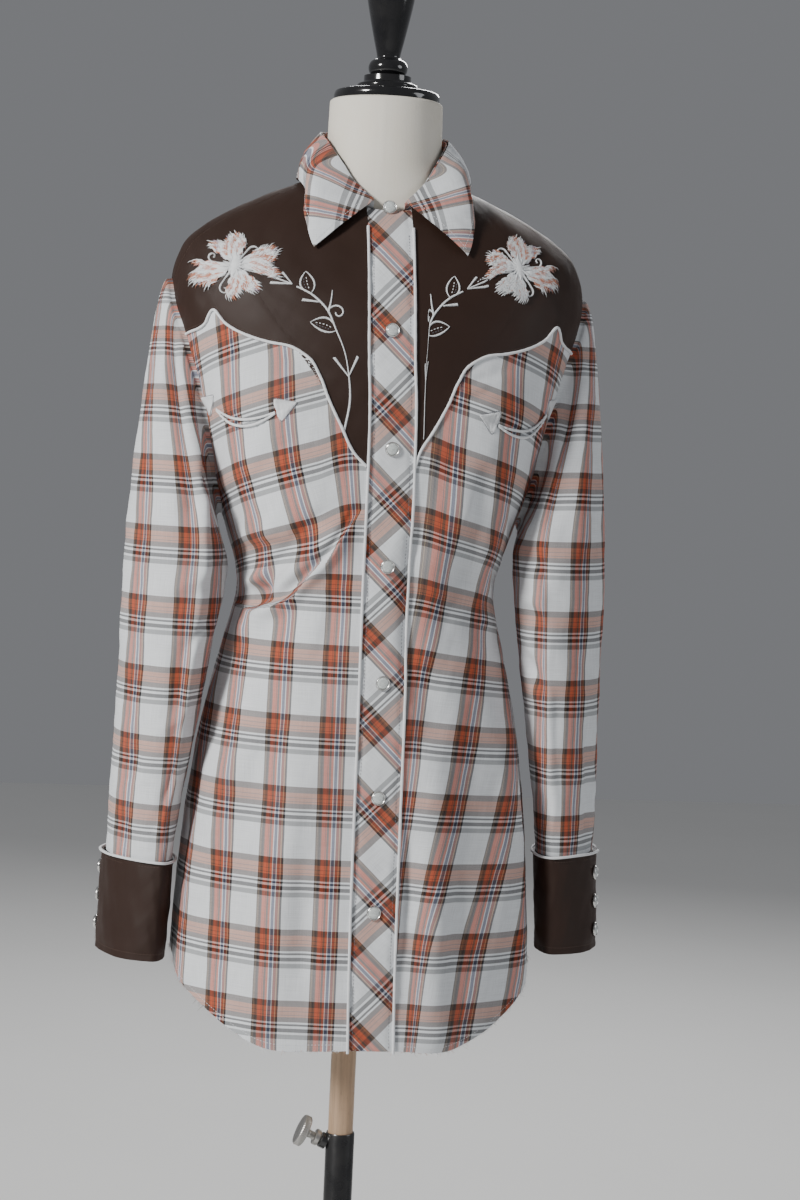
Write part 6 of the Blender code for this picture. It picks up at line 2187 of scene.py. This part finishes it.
class ShirtCloth(PropertyGroup):
    thread_pitch: FloatProperty(
        name="Thread pitch", description="Distance from one woven thread to the next",
        default=0.00055, min=0.0002, max=0.002, unit="LENGTH")
    warp_repeat: FloatProperty(
        name="Warp repeat", description="Width over which the upright stripes repeat",
        default=0.0505, min=0.02, max=0.2, unit="LENGTH")
    weft_repeat: FloatProperty(
        name="Weft repeat", description="Length over which the level bands repeat",
        default=0.0641, min=0.02, max=0.2, unit="LENGTH")
    warp_start: FloatVectorProperty(
        name="Warp start", description="Sideways place of the stripes on the right and left front",
        size=2, default=(-0.0024, 0.0249), unit="LENGTH")
    weft_start: FloatProperty(
        name="Weft start", description="Height at which the bands start", default=-0.0288, unit="LENGTH")
    placket_start: FloatProperty(
        name="Placket start", description="Place of the placket's slanting stripes",
        default=0.0, unit="LENGTH")
    collar_turn: FloatProperty(
        name="Collar turn", description="How far the plaid turns at the collar's points",
        default=0.6, subtype="ANGLE")
    collar_start: FloatProperty(
        name="Collar start", description="Place of the collar's stripes", default=0.0, unit="LENGTH")
    sleeve_start: FloatVectorProperty(
        name="Sleeve start", description="Place of the stripes on the right and left sleeve",
        size=2, default=(0.0, 0.0), unit="LENGTH")
    sleeve_weft: FloatVectorProperty(
        name="Sleeve bands", description="Height of the bands on the right and left sleeve",
        size=2, default=(0.0, 0.0), unit="LENGTH")
    sleeve_lean: FloatVectorProperty(
        name="Sleeve lean", description="Slant of the stripes on the right and left sleeve",
        size=2, default=(0.0, 0.0))
    fray_threads: IntProperty(
        name="Frayed threads", description="Number of loose threads along the hem",
        default=1900, min=0, max=4000)
    brown: FloatVectorProperty(
        name="Brown", description="Colour of the yokes and cuffs",
        size=3, subtype="COLOR", min=0, max=1, default=(0.027, 0.0125, 0.0080))
    piping: FloatVectorProperty(
        name="Piping", description="Colour of the piping", size=3, subtype="COLOR", min=0, max=1,
        default=(0.78, 0.80, 0.82))


class ShirtTrim(PropertyGroup):
    piping_radius: FloatProperty(
        name="Piping radius", description="Radius of the corded piping", default=0.0013,
        min=0.0005, max=0.002, unit="LENGTH")
    lip_radius: FloatProperty(
        name="Pocket lip radius", description="Radius of the piped pocket lips", default=0.0013,
        min=0.0005, max=0.002, unit="LENGTH")
    arrow_length: FloatProperty(
        name="Arrowhead length", description="Length of the pocket's arrowhead tabs",
        default=0.019, min=0.01, max=0.03, unit="LENGTH")
    arrow_width: FloatProperty(
        name="Arrowhead width", description="Width of the pocket's arrowhead tabs",
        default=0.020, min=0.01, max=0.03, unit="LENGTH")
    snap_radius: FloatProperty(
        name="Snap radius", description="Radius of a snap's ring", default=0.0066,
        min=0.004, max=0.008, unit="LENGTH")
    pearl: FloatVectorProperty(
        name="Pearl", description="Colour of the snap caps", size=3, subtype="COLOR", min=0, max=1,
        default=(0.66, 0.70, 0.69))


class ShirtForm(PropertyGroup):
    canvas: FloatVectorProperty(
        name="Canvas", description="Colour of the form", size=3, subtype="COLOR", min=0, max=1,
        default=(0.74, 0.71, 0.64))
    wood: FloatVectorProperty(
        name="Wood", description="Colour of the pole", size=3, subtype="COLOR", min=0, max=1,
        default=(0.50, 0.34, 0.22))


class ShirtStage(PropertyGroup):
    floor: FloatVectorProperty(
        name="Floor", description="Colour of the floor", size=3, subtype="COLOR", min=0, max=1,
        default=(0.78, 0.78, 0.77))
    key: FloatProperty(name="Key", description="Power of the main light", default=185, unit="POWER")
    fill: FloatProperty(name="Fill", description="Strength of the light all round", default=0.20, min=0)
    lens: FloatProperty(name="Lens", description="Focal length in millimetres", default=75, min=20)
    distance: FloatProperty(
        name="Distance", description="From the object's axis to the camera", default=2.35, unit="LENGTH")
    camera_height: FloatProperty(
        name="Height", description="Height of the camera", default=1.17, unit="LENGTH")
    around: FloatProperty(
        name="Around", description="How far round to the wearer's right the camera stands",
        default=math.radians(6.5), subtype="ANGLE")
    pitch: FloatProperty(
        name="Pitch", description="How far down the camera looks",
        default=math.radians(3.5), subtype="ANGLE")
    roll: FloatProperty(
        name="Roll", description="How far the camera is tipped sideways",
        default=math.radians(2.57), subtype="ANGLE")
    pan: FloatProperty(
        name="Pan", description="How far the camera is turned to its right",
        default=math.radians(0.82), subtype="ANGLE")


class AddForm(Operator):
    """Build the limbless dress form with its turned cap and finial."""

    bl_idname = "shirt.add_form"
    bl_label = "Form"

    def execute(self, context):
        make_form()
        make_cap()
        return {"FINISHED"}


class AddStand(Operator):
    """Build the base, tube, pole and clamp screw."""

    bl_idname = "shirt.add_stand"
    bl_label = "Stand"

    def execute(self, context):
        make_stand()
        return {"FINISHED"}


class AddFronts(Operator):
    """Build the two plaid fronts."""

    bl_idname = "shirt.add_fronts"
    bl_label = "Fronts"

    def execute(self, context):
        for side, word in SIDES:
            make_front(side, word)
        return {"FINISHED"}


class AddBack(Operator):
    """Build the plaid back panel."""

    bl_idname = "shirt.add_back"
    bl_label = "Back"

    def execute(self, context):
        make_back()
        return {"FINISHED"}


class AddYokes(Operator):
    """Build the brown front and back yokes."""

    bl_idname = "shirt.add_yokes"
    bl_label = "Yokes"

    def execute(self, context):
        for side, word in SIDES:
            make_front_yoke(side, word)
        make_back_yoke()
        return {"FINISHED"}


class AddPlacket(Operator):
    """Build the placket band, cut on the bias."""

    bl_idname = "shirt.add_placket"
    bl_label = "Placket"

    def execute(self, context):
        make_placket()
        return {"FINISHED"}


class AddSleeves(Operator):
    """Build the two hanging sleeves."""

    bl_idname = "shirt.add_sleeves"
    bl_label = "Sleeves"

    def execute(self, context):
        for side, word in SIDES:
            make_sleeve(side, word)
        return {"FINISHED"}


class AddCuffs(Operator):
    """Build the deep brown cuffs with their piping."""

    bl_idname = "shirt.add_cuffs"
    bl_label = "Cuffs"

    def execute(self, context):
        for side, word in SIDES:
            make_cuff(side, word)
        return {"FINISHED"}


class AddCollar(Operator):
    """Build the collar's stand and its long pointed leaf."""

    bl_idname = "shirt.add_collar"
    bl_label = "Collar"

    def execute(self, context):
        make_collar()
        return {"FINISHED"}


class AddPiping(Operator):
    """Lay the corded piping along the yokes and the placket."""

    bl_idname = "shirt.add_piping"
    bl_label = "Piping"

    def execute(self, context):
        make_piping()
        return {"FINISHED"}


class AddPockets(Operator):
    """Build the piped smile pockets with their arrowhead tabs."""

    bl_idname = "shirt.add_pockets"
    bl_label = "Pockets"

    def execute(self, context):
        make_pockets()
        return {"FINISHED"}


class AddSnaps(Operator):
    """Set the pearl snaps on the placket, the collar and the cuffs."""

    bl_idname = "shirt.add_snaps"
    bl_label = "Snaps"

    def execute(self, context):
        make_snaps()
        return {"FINISHED"}


class AddStitching(Operator):
    """Sew the visible rows of machine stitches."""

    bl_idname = "shirt.add_stitching"
    bl_label = "Stitching"

    def execute(self, context):
        make_stitching()
        return {"FINISHED"}


class AddEmbroidery(Operator):
    """Sew the satin embroidery on both front yokes."""

    bl_idname = "shirt.add_embroidery"
    bl_label = "Embroidery"

    def execute(self, context):
        for side, _ in SIDES:
            embroider(side)
        return {"FINISHED"}


class AddFray(Operator):
    """Add the loose threads along the hem."""

    bl_idname = "shirt.add_fray"
    bl_label = "Frayed hem"

    def execute(self, context):
        make_fray()
        return {"FINISHED"}


class SetStage(Operator):
    """Set the floor, the lights and the camera."""

    bl_idname = "shirt.set_stage"
    bl_label = "Stage"

    def execute(self, context):
        set_stage()
        return {"FINISHED"}


OPERATORS = (
    SetStage, AddForm, AddStand, AddFronts, AddBack, AddYokes, AddPlacket, AddSleeves, AddCuffs,
    AddCollar, AddPiping, AddPockets, AddSnaps, AddStitching, AddEmbroidery, AddFray,
)
SETTINGS = (
    (ShirtCloth, "shirt_cloth"),
    (ShirtTrim, "shirt_trim"),
    (ShirtForm, "shirt_form"),
    (ShirtStage, "shirt_stage"),
)


class ShirtPanel(Panel):
    """Lists the shirt's settings and the operators that build its pieces."""

    bl_idname = "VIEW3D_PT_shirt"
    bl_label = "Western snap shirt"
    bl_space_type = "VIEW_3D"
    bl_region_type = "UI"
    bl_category = "Shirt"

    def draw(self, context):
        for kind, name in SETTINGS:
            box = self.layout.box()
            for setting in kind.__annotations__:
                box.prop(getattr(context.scene, name), setting)
        for kind in OPERATORS:
            self.layout.operator(kind.bl_idname)


def register():
    for kind, name in SETTINGS:
        bpy.utils.register_class(kind)
        setattr(bpy.types.Scene, name, PointerProperty(type=kind))
    for kind in (*OPERATORS, ShirtPanel):
        bpy.utils.register_class(kind)


def unregister():
    for kind in (ShirtPanel, *reversed(OPERATORS)):
        bpy.utils.unregister_class(kind)
    for kind, name in reversed(SETTINGS):
        delattr(bpy.types.Scene, name)
        bpy.utils.unregister_class(kind)


def main():
    register()
    for kind in OPERATORS:
        group, name = kind.bl_idname.split(".")
        getattr(getattr(bpy.ops, group), name)()
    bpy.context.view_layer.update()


if __name__ == "__main__":
    main()
